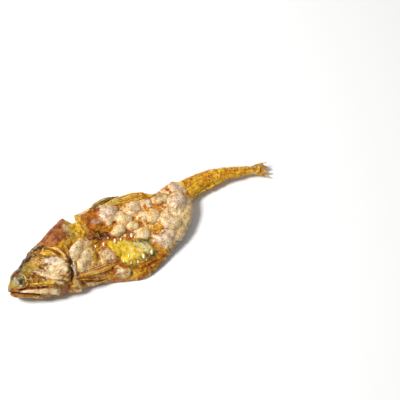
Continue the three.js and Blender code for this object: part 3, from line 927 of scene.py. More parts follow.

# %% [markdown]
# ## Colours of the head
# The jaw dried pale between two brown lips, the cheek silvery cream, the crown olive and nearly black in
# blotches. A painted picture could say so, but it would slip whenever the form changes. Crests get a
# painted highlight and the folds beside them painted shade, so the relief itself gives part of the colour,
# and patches give the rest; a grey-lilac patch on the gill cover is a painted sheen.

# %% Colours of the head
HEAD_PATCHES = {
    # Painted sheen: the pale patch and the first two lilac patches are a grey-lilac shine on the gill
    # cover.
    "pale": [(20.8, 2.6, 3.2, 0.9, -20, 0.4)],
    "olive": [(12.4, 4.4, 3.2, 2.0, 20, 0.3), (3.0, 1.6, 2.2, 1.6, 0, 0.8), (8.6, 4.4, 2.0, 1.2, 30, 0.6)],
    "cream": [
        (20.4, -0.8, 3.0, 2.4, 0, 0.9), (24.0, -1.5, 1.5, 3.0, 0, 0.8), (14.7, 0.5, 3.4, 0.7, -43, 0.7),
        (10.0, 0.4, 1.0, 0.6, 60, 0.6), (17.8, -9.4, 2.4, 1.1, -35, 0.6), (20.4, -6.6, 1.8, 0.6, -50, 0.8),
        (26.0, -13.2, 1.8, 1.1, -20, 0.8), (13.5, 6.8, 1.6, 0.5, 20, 0.4), (22.6, 1.8, 2.2, 0.9, -20, 0.6),
    ],
    "lilac": [
        (20.9, 3.4, 3.4, 1.3, -22, 1.2), (15.6, 1.4, 1.8, 0.6, -40, 0.5), (16.4, 10.2, 0.9, 0.5, 30, 0.6),
    ],
    "yellow": [
        (12.8, 5.2, 1.5, 0.8, 20, 0.8), (13.2, -3.2, 3.6, 0.7, -18, 0.9), (16.0, 4.6, 2.2, 0.8, 30, 0.5),
        (17.6, -4.4, 2.6, 1.6, -40, 0.6), (17.0, 9.4, 3.0, 0.9, 0, 0.6), (20.2, 6.8, 2.6, 1.0, -20, 0.5),
    ],
    "red": [
        (23.4, 5.4, 2.6, 0.7, -40, 0.5), (14.2, 8.6, 2.6, 0.6, 20, 0.5), (11.8, 1.0, 0.9, 0.7, 0, 0.9),
        (21.8, -10.2, 1.8, 1.2, 0, 0.8), (4.5, -0.9, 2.6, 0.6, -20, 0.25),
    ],
    "dark": [
        (1.0, -1.6, 1.0, 1.6, 0, 0.5), (4.2, 3.6, 1.6, 0.6, 35, 0.8), (3.0, -2.6, 2.0, 0.5, -20, 0.6),
        (9.2, 6.4, 1.0, 0.5, 40, 0.7), (12.4, 9.0, 1.1, 0.6, 20, 0.7), (15.6, 10.0, 1.3, 0.5, 20, 0.6),
        (15.4, 7.6, 1.1, 0.3, 10, 0.8), (7.0, 5.2, 1.2, 0.5, 30, 0.6), (19.0, 9.8, 1.2, 0.6, 0, 0.4),
    ],
}


def head_marks(at, detail):
    """Where the head dried cream, yellow, red or dark, plus painted highlight and shade."""
    s, d = at[..., 0], at[..., 1]
    around = blurred(detail, 6, True)
    # Painted highlight on crests and painted shade in folds, from the relief against its blurred mean.
    shade_in_folds, light_on_crests = clamp01((around - detail) * 3.2), clamp01((detail - around) * 3.2)
    crown = smooth(3.5, 7.5, d - 0.18 * s) * smooth(25, 18, s)
    blotch = clamp01(0.5 + 1.2 * grain(at, 2.4, 71))
    mouth = bump(d - mouth_line(s), 0.75) * (1 - smooth(MOUTH_CORNER - 3.5, MOUTH_CORNER, s))
    lip = bump(d - lip_line(s) + 0.35, 0.6) * smooth(2, 4, s) * smooth(17, 14, s)
    middle = (lip_line(s) + mouth_line(s)) / 2
    jaw = bump(d - middle, 0.3 + 0.07 * s) * smooth(3, 6, s) * smooth(19, 16, s)
    chin = smooth(-0.7, -1.6, d - mouth_line(s)) * smooth(22, 12, s)
    edge = s - gill_edge(d)
    high = cover_top(d)
    band = bump(edge + 1.1, 0.7) * high
    cheek = spot(s, d, 19.5, -1.0, 5.5)
    low = smooth(3.5, 1.0, d)
    ridge = smooth(2.6, 0.8, flesh.top(s) - d) * smooth(1.5, 3.5, s) * smooth(16.5, 13, s)
    spotted = {
        "cream": 0.75 * jaw + 0.3 * chin + (0.35 + 0.5 * cheek) * light_on_crests * (1 - 0.7 * crown)
        + 0.2 * band + 0.3 * cheek,
        "yellow": 0.7 * band + 0.45 * light_on_crests + 0.3 * chin + 0.8 * jaw + 0.25 * bump(edge + 3.3, 0.7) * high,
        "red": 0.8 * lip + mouth + 0.2 * bump(edge + 2.4, 0.6) * high + 0.35 * shade_in_folds * low
        + 0.1 * smooth(6, 2, s) * smooth(1.5, -0.5, d - lip_line(s)),
        "olive": 0.8 * crown * (1 - blotch) + 0.35 * clamp01(0.3 + blotch) * smooth(18, 12, s) * (1 - jaw),
        "dark": 0.3 * mouth + ridge * (0.1 + 0.6 * blotch) + 1.5 * crown * blotch * smooth(3, 5.5, d)
        + 0.22 * shade_in_folds + 0.35 * lip,
    }
    spotted = patched(spotted, at, HEAD_PATCHES)
    # Painted shade in the gill slit, just behind the rim of the gill cover.
    spotted["dark"] = spotted["dark"] + smooth(-0.8, -0.2, edge) * gill_slit(d)
    spotted["salt_and_glints"] = 0.3 + 0.7 * crown
    return spotted


print(sum(map(len, HEAD_PATCHES.values())), "patches on the head")

# %% [markdown]
# ## The head's shell
# Rings from the tip of the jaws to the rim are lofted into one shell. Behind the rim five more rings roll
# in towards the middle, so that the edge is round and the gill slit behind it is deep, and painted shade
# on them darkens the slit.

# %% The head's shell
HEAD_RINGS, HEAD_AROUND = 190, 300
# How far each ring of the rolled rim stands behind the edge, how much it draws in and how much painted
# shade it gets.
ROLLED_RIM = ((0.35, 0.02, 0.3), (0.45, 0.06, 0.7), (0.3, 0.11, 1), (-1.2, 0.16, 1), (-3.0, 0.24, 1))


def build_head():
    t = np.linspace(0, 2 * np.pi, HEAD_AROUND, endpoint=False)
    edge = rear_edge(t)
    u = np.linspace(0, 1, HEAD_RINGS)[:, None]
    s = -0.2 + (edge + 0.2) * u
    d, l = flesh_point(s, np.broadcast_to(t, s.shape))
    straight = np.stack([s, d, l], axis=-1)
    detail = head_detail(straight)
    grid = pushed_out(place(s, d, l), detail, True)
    marks = head_marks(straight, detail)
    rim = []
    inward = place(edge - 2.5, flesh.mid(edge), 0 * edge)
    for turn, pull, _ in ROLLED_RIM:
        forward = place(edge + turn, d[-1], l[-1]) - place(edge, d[-1], l[-1])
        rim.append(mix(grid[-1] + forward, inward + forward, pull))
    grid = np.concatenate([grid, np.array(rim)])
    # Painted shade: the rolled rings darken where the gill cover stands off the body.
    shade = np.outer([dark for _, _, dark in ROLLED_RIM], gill_slit(d[-1]))
    for name, values in marks.items():
        rolled = values[-1] * (1 - shade) + (shade if name == "dark" else 0)
        marks[name] = np.vstack([values, rolled])
    nose, throat = place(-0.3, flesh.mid(0), 0), place(21.0, 0, 0)
    return loft("head_skin", grid, nose, throat, head_finish, marks)


finished(build_head())

# %% [markdown]
# ## The flesh behind the head
# Under the loose skin lies one long strip of dried flesh, from inside the head to the tail. It shows as
# the pinkish hump behind the nape, at the throat, and as the whole tail, where the muscle dried in rows
# of small segments. The belly lies open, so there the strip is only a wall along the floor. It starts
# inside the head, a little sunk, and the gap between the two is the gill slit.

# %% Relief of the flesh
SEGMENT = 1.35  # length of one muscle segment of the tail, in millimetres


def meaty(s, d):
    """1 on the bare muscle behind the nape, up to where the torn skin and its crumbs begin."""
    under = d - 8.4 - 0.2 * (s - 26)
    return smooth(34.2, 30.6, s - 0.1 * (d - 12)) * smooth(-1.2, 1.2, under) * smooth(16, 19, s)


def torn_edge(s, d):
    """1 in the crumbly strip between the bare muscle and the rim of the flank skin."""
    return smooth(31.6, 33.6, s - 0.1 * (d - 12)) * smooth(41, 38, s) * smooth(4.5, 6.5, d)


def trunk_detail(at):
    s, d = at[..., 0], at[..., 1]
    edge = s - gill_edge(d)
    inside = -1.9 * smooth(0.3, -1.2, edge) * (1 - 0.8 * smooth(6.5, 9.5, d))
    slit = -2.4 * bump(edge - 0.1, 0.75) * gill_slit(d)
    joined = 0.8 * bump(edge - 0.3, 1.0) * smooth(0.5, 2.5, d) * smooth(10, 8, d)
    girdle = 0.7 * bump(edge - 1.2, 0.5) * smooth(-8, -6, d) * smooth(0, -2, d)
    middle = flesh.mid(s)
    tail = smooth(80, 92, s) * smooth(LENGTH + 2, LENGTH - 4, s)
    slant = s + 0.6 * np.abs(d - middle) + 0.3 * noise(at, 4, 5)
    rows = np.sin(2 * np.pi * slant / SEGMENT) * np.sin(2 * np.pi * (d - middle) / 1.3)
    seam = -0.3 * bump(d - middle, 0.35)
    rough = 0.18 * grain(at, 1.5, 81) + 0.25 * noise(at, 3.6, 82)
    crumbs = 0.36 * grain(at, 1.1, 86) * torn_edge(s, d)
    creases = 0.28 * (folds(at, [2.6, 1.8, 2.0], 83) - 0.3) * smooth(20, 26, s) * smooth(44, 36, s)
    strings = 0.3 * (folds(at, [6.0, 0.9, 1.2], 84) - 0.3) * smooth(34, 40, s)
    shape = inside + slit + joined + girdle + tail * (0.13 * rows + seam)
    return shape + rough + crumbs + creases + strings * (1 - 0.5 * tail)


ridges = trunk_detail(np.stack([np.linspace(100, 103, 60), np.full(60, 6.0), np.zeros(60)], axis=-1))
print("the muscle rows of the tail stand", (ridges.max() - ridges.min()).round(2), "mm out")

# %% [markdown]
# ## Colours of the flesh
# Bare muscle dries red-brown behind the nape, and a strip of torn skin and fat beside it stays bright
# yellow. The tail is golden, with a paler line along its back, and the open belly is darkest. Crests get a
# painted highlight, and folds and the gill slit painted shade.

# %% The flesh
TRUNK_PATCHES = {
    "yellow": [(30.0, 7.4, 4.5, 1.3, 10, 0.9), (28.0, 4.2, 1.3, 4.2, 6, 0.9)],
    "cream": [
        (31.0, 7.6, 3.0, 0.6, 12, 0.6), (31.4, 12.6, 1.9, 3.4, 0, 0.75), (28.2, 3.4, 0.8, 3.4, 6, 0.5),
        (28.4, -2.0, 1.0, 5.0, 0, 0.9), (27.0, -14.2, 1.9, 0.8, -12, 1.0),
    ],
    "lilac": [(31.0, 13.0, 1.1, 2.6, 0, 0.45), (27.0, -5.2, 0.6, 2.2, 0, 1.0)],
    "red": [(28.8, -9.6, 1.5, 1.2, 0, 0.7), (29.6, -11.8, 2.0, 1.0, -12, 0.7)],
    "dark": [(28.8, -14.4, 1.6, 0.7, -10, 0.6)],
}


def trunk_marks(at, detail):
    s, d = at[..., 0], at[..., 1]
    # Painted highlight on crests and painted shade in folds, from the relief against its blurred mean.
    around = blurred(detail, 5, True)
    shade_in_folds, light_on_crests = clamp01((around - detail) * 3.0), clamp01((detail - around) * 3.0)
    meat, torn = meaty(s, d), torn_edge(s, d)
    throat = smooth(-5, -8, d) * smooth(18, 23, s) * smooth(36, 31, s)
    tail = smooth(80, 90, s)
    opened = flesh.gut(s) * smooth(-2, -6, d)
    back = smooth(-0.5, 1.5, d - flesh.mid(s))
    top_line = bump(flesh.top(s) - d - 0.5, 0.4)
    blotch = clamp01(0.5 + 1.3 * grain(at, 2.4, 85))
    spotted = {
        "cream": 0.55 * throat * (1 - blotch) + torn * (0.2 + 0.7 * light_on_crests) + 0.5 * tail * light_on_crests
        + 0.25 * meat * light_on_crests + 0.7 * tail * top_line,
        "yellow": 1.6 * torn + tail * (0.48 + 0.5 * light_on_crests + 0.3 * blotch * (1 - back)) + 0.5 * throat,
        "meat": 1.1 * meat * (1 - 0.7 * bump(np.hypot((s - 31.4) / 1.9, (d - 12.6) / 3.4), 1.0)),
        "glass": torn * (0.4 + 0.4 * light_on_crests),
        "red": 0.3 * meat * (1 - blotch) + 0.5 * opened + 0.2 * tail * (1 - blotch) * back,
        "crumbly": torn + 0.3 * throat,
        "salt_and_glints": 0.7 * torn + 0.2 * throat + 0.8 * tail * (1 - blotch),
        "dark": (0.5 - 0.5 * torn) * shade_in_folds + 0.7 * opened + 0.25 * throat * blotch * smooth(-9, -12, d)
        + 0.15 * tail * back * blotch,
    }
    spotted = patched(spotted, at, TRUNK_PATCHES)
    # Painted shade in the gill slit, just behind the rim of the gill cover.
    spotted["dark"] = spotted["dark"] + 1.3 * smooth(0.9, 0.3, s - gill_edge(d)) * gill_slit(d)
    return spotted


TRUNK_RINGS, TRUNK_AROUND = 270, 220
TRUNK_START = 18.0  # well inside the head


def build_trunk():
    s = mix(TRUNK_START, LENGTH + 0.2, np.linspace(0, 1, TRUNK_RINGS))[:, None]
    t = np.linspace(0, 2 * np.pi, TRUNK_AROUND, endpoint=False)
    s = np.broadcast_to(s, (TRUNK_RINGS, TRUNK_AROUND))
    d, l = flesh_point(s, t)
    straight = np.stack([s, d, l], axis=-1)
    detail = trunk_detail(straight)
    grid = pushed_out(place(s, d, l), detail, True)
    front = place(TRUNK_START - 1, flesh.mid(TRUNK_START - 1), 0)
    tip = place(LENGTH + 0.5, flesh.mid(LENGTH), 0)
    return loft("trunk_flesh", grid, front, tip, trunk_finish, trunk_marks(straight, detail))


finished(build_trunk())

# %% [markdown]
# ## The zones of the flank skin
# The skin of the left flank came loose and dried as a shell of its own, and not alike everywhere: puffy
# with blisters, glassy over the ribs, smooth and brown behind the torn rim, crusted to a scab, fibrous at
# the rear, stringy at the belly. Each zone is a soft mask on the straight fish with a wavy border, from
# which both the relief and the colours are made, so that the two always agree.

# %% The zones of the flank skin
RIB_SPACING = 2.45  # millimetres
RIB_SLANT = 0.25
RIB_AT = 51.3  # where one rib crosses the middle line of the window


def rib_phase(s, d):
    """Counts the ribs under the skin: they slant back as they run down."""
    return (s - RIB_AT + RIB_SLANT * (d - WINDOW.d)) / RIB_SPACING + 0.5


def above_top(s, d):
    """How far a point lies above the window's upper edge, in millimetres."""
    return d + 0.2 + 0.36 * (s - 47)


def above_low(s, d):
    """How far a point lies above the window's lower edge, in millimetres."""
    return d + 13.4 - 0.3 * np.maximum(0, 49 - s)


def flank_zones(s, d):
    """The differently dried parts of the flank, each from 0 to 1."""
    wave = 0.8 * np.sin(1.3 * s + 0.7 * d) + 0.5 * np.sin(0.9 * d - 0.6 * s)
    slanted = s + RIB_SLANT * (d - WINDOW.d) + 0.4 * wave
    glass = smooth(46.0, 48.6, slanted) * smooth(64, 59.5, slanted)
    glass = glass * smooth(0.7, -0.9, above_top(s, d) + 0.4 * wave)
    glass = glass * smooth(-1.0, 0.8, above_low(s, d) + 0.4 * wave)
    puffy = smooth(47, 50, s + 0.4 * wave) * smooth(-0.4, 0.8, above_top(s, d) + 0.3 * wave)
    puffy = clamp01(puffy + smooth(60, 63, slanted) * smooth(-13.5, -12, d))
    smooth_skin = smooth(37, 39, s) * smooth(50, 47, s + 0.5 * wave) * smooth(6.2, 8.0, d + 0.3 * wave)
    back, up = s - 44.2, d - 3.8  # the scab is a leaning oval round this place
    from_scab = np.hypot(back * 0.93 - up * 0.37, (back * 0.37 + up * 0.93) * 2.2)
    scab = smooth(5.8, 4.2, from_scab + 0.5 * wave)
    front = smooth(41.5, 38.5, s) * smooth(7.5, 4.5, d)
    fibres = smooth(74, 80, s - 0.5 * d) * smooth(3.5, -1.0, d + 0.4 * wave - 0.15 * (s - 80))
    belly = smooth(0.6, -0.8, above_low(s, d) + 0.3 * wave) * smooth(38, 42, s)
    return SimpleNamespace(
        glass=glass,
        puffy=puffy,
        smooth_skin=smooth_skin,
        scab=scab,
        front=front,
        fibres=fibres,
        belly=belly,
    )


print("the middle of the window is glassy by", flank_zones(WINDOW.s, WINDOW.d).glass.round(2))

# %% [markdown]
# ## Relief of the flank skin
# Smaller lumps fill the gaps between the large blisters, and all of them are crumpled like thin leather.
# Taut skin over a blister folds less than the slack skin between two. The ribs show through the window,
# threads run down the rear, strings run along the belly, and the torn rim and the scab are crusted.

# %% Relief of the flank skin
LUMPS = [
    (53.8, 14.9, 1.8, 0.7), (53.6, 9.8, 1.9, 0.9), (58.6, 11.4, 1.6, 0.5), (58.9, 6.2, 1.4, 0.5),
    (66.6, 7.6, 1.5, 0.5), (66.8, 11.2, 1.6, 0.6), (72.8, 11.2, 1.4, 0.5), (73.2, 6.2, 1.6, 0.6),
    (79.6, 10.6, 2.1, 0.9), (79.4, 6.6, 1.7, 0.6), (77.2, 1.8, 1.6, 0.5), (74.0, -0.4, 2.2, 0.9),
    (66.2, -0.8, 1.3, 0.5), (65.2, 1.6, 1.3, 0.4), (61.6, 6.8, 1.2, 0.4), (60.2, 8.8, 1.6, 0.5),
    (66.0, 4.8, 1.8, 0.6), (70.8, 5.8, 1.7, 0.6), (76.8, 5.0, 1.9, 0.7), (64.8, -3.8, 1.6, 0.5),
    (56.6, 0.8, 1.5, 0.4), (54.8, 5.8, 1.4, 0.5), (49.4, 9.0, 1.4, 0.4), (56.0, 4.2, 1.1, 0.4),
    (67.4, -4.6, 1.4, 0.4), (61.6, -7.2, 2.3, 0.5), (72.6, -7.6, 1.7, 0.4), (87.4, 5.2, 1.5, 0.5),
    (83.4, 10.6, 1.7, 0.6), (88.2, 9.2, 1.3, 0.4), (39.8, -3.4, 1.5, 0.5), (37.2, 2.4, 1.7, 0.5),
    (33.6, 5.4, 1.4, 0.4),
]


def flank_detail(at, v):
    """Fine relief of the flank: soft crumples on the blisters, sharper folds, ribs and fibres elsewhere."""
    s, d = at[..., 0], at[..., 1]
    zone = flank_zones(s, d)
    lumps = blister(s, d, LUMPS) * (1 - 0.7 * clamp01(zone.glass + zone.fibres))
    calm = (1 - 0.75 * zone.glass) * (1 - 0.8 * zone.fibres) * (1 - 0.5 * zone.smooth_skin)
    crumples = 0.13 * grain(at, 1.3, 91) + 0.34 * noise(at, 3.1, 92)
    crumples = crumples + 0.34 * (folds(at, [1.7, 1.3, 9], 106) - 0.3)
    slack = 0.42 * (folds(at, [2.6, 2.0, 9.0], 93) - 0.3) - 0.3 * folds(at, [5.2, 3.6, 9.0], 191) ** 3
    folded = (1 - 0.55 * smooth(0.3, 1.0, blister(s, d) + lumps)) * slack
    torn = smooth(3.2, 0.5, s - flank_front(v)) * smooth(0.6, 0.7, v)
    crust = 0.3 * grain(at, 0.8, 94) * clamp01(0.45 * zone.scab + torn)
    pressed = -0.9 * spot(s, d, 46.6, -13.0, 3.0)  # the lowest blister was pressed flat
    ribs = 0.28 * (np.abs(np.sin(np.pi * rib_phase(s, d))) ** 0.7 - 0.5) * zone.glass
    turned = at @ np.array([[0.5, 0.87, 0], [-0.87, 0.5, 0], [0, 0, 1]])
    threads = 0.3 * (folds(turned, [0.9, 6, 5], 96) - 0.3) * zone.fibres
    strings = 0.35 * (folds(at, [7, 0.9, 9], 97) - 0.3) * clamp01(zone.belly + 0.4 * zone.smooth_skin)
    return lumps + calm * (crumples + folded) + (crust + pressed) + ribs + threads + strings


print(len(LUMPS), "smaller lumps beside the large blisters")

# %% [markdown]
# ## Patches of the flank skin
# Some blisters dried paler than others, some of the skin greener, and the rim and the belly edge are
# yellow and red only in places. A negative strength takes a mark away again.

# %% Patches of the flank skin
FLANK_PATCHES = {
    "lilac": [
        (51.2, 12.8, 3.8, 3.6, 0, 0.8), (62.8, 10.2, 3.0, 2.6, 0, 0.5), (70.2, 9.2, 2.0, 2.0, 0, 0.7),
        (86.2, 8.2, 3.4, 2.6, 0, 0.8), (82.4, 2.4, 4.0, 3.2, 0, 0.9), (72.2, -4.4, 2.4, 1.8, 0, 0.5),
        (68.2, -8.6, 3.6, 2.6, 0, 1.0), (43.4, -5.8, 3.6, 2.4, -40, 0.4), (31.4, 3.8, 1.8, 1.8, 0, 0.5),
        (35.2, -1.2, 1.1, 1.5, 0, 0.5), (45.2, -14.6, 2.2, 0.9, -20, 0.6), (44.8, 10.6, 2.4, 1.5, -10, 1.0),
    ],
    "cream": [
        (56.2, 8.8, 3.4, 1.8, -60, 0.6), (68.6, 2.4, 2.8, 2.2, -30, 0.6), (73.8, -1.2, 2.4, 2.2, -40, 0.9),
        (66.0, 6.0, 6.0, 2.0, 0, -0.25), (61.8, -2.6, 2.4, 2.2, 0, 1.0), (58.6, 2.4, 2.6, 1.6, 0, 0.6),
        (52.4, 3.4, 1.8, 1.0, 0, 0.5), (43.2, -5.2, 4.0, 3.0, -40, 1.0), (38.2, -3.0, 2.0, 4.8, -8, -0.6),
        (37.0, -0.6, 0.5, 1.8, 15, 0.9), (46.8, -14.2, 4.4, 1.3, -22, 0.9),
        (45.4, -12.4, 1.2, 2.0, -10, 0.6), (31.4, -0.8, 3.0, 6.4, -12, 0.5),
        (80.0, -3.6, 6.0, 4.0, 28, 0.6), (74.5, -8.5, 4.5, 2.0, 28, 0.7), (48.6, 17.2, 3.2, 1.0, 10, 0.5),
    ],
    "olive": [
        (63.2, 9.4, 3.0, 2.2, 20, 0.45), (78.6, 5.6, 3.0, 2.0, 20, 0.4), (76.4, 9.4, 3.2, 2.4, 0, 0.6),
        (52.2, 2.0, 2.6, 2.2, 0, 0.42), (61.6, -7.0, 2.4, 2.0, 0, 0.5), (53.0, -15.2, 4.0, 1.3, -5, 0.4),
    ],
    "yellow": [
        (29.0, 3.0, 0.8, 4.6, 5, 0.6), (33.0, 4.4, 3.0, 0.8, -20, 0.5), (32.6, -3.6, 3.4, 0.8, -20, 0.5),
        (38.0, -2.4, 1.8, 4.4, -8, 0.2), (78.4, -1.4, 2.2, 1.2, 20, 0.6), (46.6, 7.4, 2.4, 0.8, -20, 0.5),
        (36.0, 7.0, 3.4, 1.2, 0, 0.9), (50.0, -15.4, 3.6, 1.0, -15, 0.6),
    ],
    "red": [
        (38.6, -3.0, 1.2, 3.4, -8, 0.5), (38.6, 1.4, 1.6, 1.4, 0, 0.5), (47.4, 15.2, 2.0, 1.2, 10, 0.6),
        (58.0, -15.0, 4.0, 1.4, 20, 0.5),
    ],
}


print(sum(map(len, FLANK_PATCHES.values())), "patches on the flank")

# %% [markdown]
# ## Colours of the flank skin
# The tops of the blisters dried cream to pinkish, the folds between them amber. Oil shows yellow through
# the thin window and greenish grey towards its rear, and pale where a rib lies behind it. Crests get a
# painted highlight and folds painted shade, and the window's lower band and the top of its rear darken to
# olive as painted shade.

# %% Colours of the flank skin


def flank_marks(at, detail, v):
    """Where the flank dried cream, lilac, yellow, olive, red or dark, plus painted highlight and shade."""
    s, d = at[..., 0], at[..., 1]
    zone = flank_zones(s, d)
    relief = detail + blister(s, d)
    soft = clamp01(zone.puffy + zone.front)
    lifted = smooth(-0.05, 0.75, relief + 0.15 * grain(at, 2.2, 103))
    puffed = lifted * clamp01(soft + 0.5 * smooth(-11, -13, d)) * (1 - zone.glass)
    around = blurred(relief, 6, False)
    # Painted highlight on crests and painted shade in folds, from the relief against its blurred mean.
    shade_in_folds, light_on_crests = clamp01((around - relief) * 2.2), clamp01((relief - around) * 2.6)
    patch = grain(at * [1, 1, 0], 5.5, 98, 2)
    rim = smooth(3.4, 1.0, s - flank_front(v)) * smooth(0.55, 0.68, v)
    tail_end = smooth(86.5, 89.5, s) * smooth(4, 7, d)
    along = smooth(50, 60, s + 0.5 * d + 2.5)
    rib = 0.5 - 0.5 * np.cos(2 * np.pi * (rib_phase(s, d) + 0.12 * noise(at, 2.5, 104)))
    fine_rib = 0.5 - 0.5 * np.cos(6 * np.pi * rib_phase(s, d) + 2 * noise(at, 3.0, 105))
    top_edge = smooth(0.94, 0.975, v) * smooth(38, 40, s) * smooth(50, 47, s)
    # Painted shade: the window darkens to olive along its lower band and, towards the rear, under its top
    # edge.
    shaded = clamp01(smooth(4.4, 1.6, above_low(s, d)) + smooth(-1.6, -0.4, above_top(s, d)) * along)
    between = 0.5 * (1 - puffed) * clamp01(patch + 0.4) * (1 - zone.smooth_skin) * (1 - 0.6 * zone.front)
    spotted = {
        "cream": rim * (0.2 + 0.8 * light_on_crests)
        + puffed * (0.6 + 0.2 * patch - 0.35 * zone.front) * (1 - zone.fibres) + 0.4 * light_on_crests * soft
        + 0.12 * soft + 0.35 * zone.front + 0.8 * zone.fibres + 0.9 * top_edge,
        "lilac": 0.3 * puffed * clamp01(0.5 + patch),
        "crumbly": 0.8 * zone.scab + rim + 0.15 * zone.front + 0.2 * zone.belly,
        "salt_and_glints": 0.25 + 0.75 * zone.scab + 0.3 * zone.front,
        "yellow": 1.3 * rim + tail_end + 0.6 * zone.fibres * (1 - light_on_crests)
        + zone.belly * (0.1 + 0.6 * light_on_crests) + 0.3 * zone.smooth_skin * light_on_crests + 0.3 * zone.front + between,
        "olive": zone.glass * (0.5 * along * (1 - rib) + 0.35 * along + 1.3 * shaded * (1 - 0.5 * rib)),
        "red": 0.45 * zone.smooth_skin * clamp01(0.7 - patch) + 0.45 * zone.scab
        + 0.4 * zone.belly * (1 - light_on_crests) + 0.4 * shade_in_folds * soft * (1 - 0.6 * zone.front),
        "glass": zone.glass * (1.25 - 0.8 * along) * (0.7 + 0.4 * fine_rib) * (1 - 0.6 * shaded)
        + rim * (0.2 + 0.3 * light_on_crests),
        "pale": zone.glass * (0.4 * along + (0.5 + 0.2 * along) * rib * (0.5 + 0.5 * fine_rib))
        * (1 - 0.6 * shaded),
        "dark": zone.scab * (0.6 - 0.4 * light_on_crests + 0.2 * patch) + 0.1 * rim * shade_in_folds
        + shade_in_folds * (0.7 - 0.65 * clamp01(soft + zone.scab)) * (1 - 0.5 * zone.glass)
        + 0.45 * zone.glass * shaded * (1 - rib) + 0.1 * zone.glass * (1 - fine_rib) * along,
    }
    return patched(spotted, at, FLANK_PATCHES)


probe = flank_marks(np.array([[[WINDOW.s, WINDOW.d, 0.0]]]), np.zeros((1, 1)), np.full((1, 1), 0.5))
print("the middle of the window is glassy by", probe["glass"].round(2).item(), "in colour")

# %% [markdown]
# ## The flank skin itself
# It is a slab between two sheets: the upper one blistered, the lower one flat, so that a blister is thick
# and the window thin. Its front edge is tucked in low down, behind the gill cover, and curls up higher,
# where the skin is torn. Its rear edge is ragged.

# %% The flank skin itself
SKIN_ALONG, SKIN_ACROSS = 270, 182
SHEET = 0.55  # thickness of the dried skin, in millimetres


def build_flank():
    u, v = np.meshgrid(np.linspace(0, 1, SKIN_ALONG), np.linspace(0, 1, SKIN_ACROSS), indexing="ij")
    front = flank_front(v)
    s = mix(SKIN.front, SKIN.end, u) + (front - SKIN.front) * (1 - u) ** 4
    rag = 0.45 * np.sin(s * 0.9) + 0.2 * np.sin(s * 2.1) + 0.35 * grain(on_line(s), 1.1, 99)
    d = mix(flank.low(s), flank.top(s), v) + rag * smooth(60, 70, s) * smooth(0.2, 0, v)
    rim = smooth(0.6, 0.72, v)
    tuck = 1.5 * (1 - rim) * (1 - smooth(0, 3.2, s - front))
    curl = 1.1 * rim * np.exp((front - s) / 1.6)
    sink = 1.6 * smooth(84, SKIN.end, s) * smooth(0.4, 0.9, v)
    l = flank_height(s, d) - tuck + curl - sink
    straight = on_sheet(s, d)
    detail = flank_detail(straight, v)
    base = place(s, d, l)
    # The relief fades out towards the two long edges.
    upper = pushed_out(base, np.minimum(1, 12 * v * (1 - v)) * detail, False)
    lower = pushed_out(base, -(SHEET + 0.6 * blister(s, d)), False)
    return slab("flank_skin", upper, lower, flank_finish, flank_marks(straight, detail, v))


finished(build_flank())

# %% [markdown]
# ## The finish of the eyes
# A fish's eye clouds as it dries: the jelly turns milky, then grey-green, and shrinks away from a ring of
# skin that dries hard and pale. It stays glossy. Its material is built like the skin's: a base of two
# tones, and one more pair of tones for each mark that the eye's points carry.

# %% The finish of the eyes
JELLY = 1.11  # millimetres across one of its clouds
# rim and edge are painted shade: rim the socket's shade round the ball, edge the crease and sunk outer
# edge.
EYE_MARKS = (
    ("milk", "#847a3a", "#beb472"),
    ("cloud", "#33241c", "#6e5648"),
    ("pupil", "#0e1008", "#2c3016"),
    ("rim", "#38260a", "#72521a"),
    ("lid", "#a8842c", "#dcc678"),
    ("edge", "#4a2c0c", "#946628"),
)


def dried_eye(name):
    """A clouded eye: grey-green jelly that dried glossy, darker in the pupil, with a pale hard ring."""
    settings = {"Roughness": 0.35, "IOR": 1.42, "Coat Weight": 0.2, "Coat Roughness": 0.1}
    made, tree, surface = new_finish(name, settings)
    here = add(tree, "ShaderNodeTexCoord").outputs["Object"]
    cloudy = {"Vector": here, "Scale": scale_for(JELLY), "Detail": 4, "Roughness": 0.6}
    clouds = add(tree, "ShaderNodeTexNoise", cloudy).outputs["Fac"]
    between = {"Value": clouds, "From Min": 0.36, "From Max": 0.64}
    spread = add(tree, "ShaderNodeMapRange", between).outputs[0]
    base = {0: spread, 6: linear("#524410"), 7: linear("#907c34")}
    colour = add(tree, "ShaderNodeMix", base, data_type="RGBA").outputs[2]
    for mark, low, high in EYE_MARKS:
        strength = add(tree, "ShaderNodeAttribute", attribute_name=mark).outputs["Fac"]
        colour = painted(tree, colour, strength, spread, low, high)
    tree.links.new(colour, surface.inputs["Base Color"])
    dent = add(tree, "ShaderNodeBump", {"Height": clouds, "Strength": 0.4, "Distance": 0.3 * MM}).outputs[0]
    tree.links.new(dent, surface.inputs["Normal"])
    return made


eye_finish = dried_eye("clouded_eye")
print("material:", eye_finish.name)

# %% [markdown]
# ## Eyes
# Each eye has sunk into its socket: a small dome lofted from its middle outwards, so that its rings can
# carry pupil, cloud and lid. The pupil slid down and the front is milky. The hidden right eye, which lies
# on the ground, gets the same.

# %% The eyes
EYE_RINGS, EYE_AROUND = 40, 72
BALL = 2.05  # radius of what is left of the ball, in millimetres
LID = 1.0  # width of the ring round it


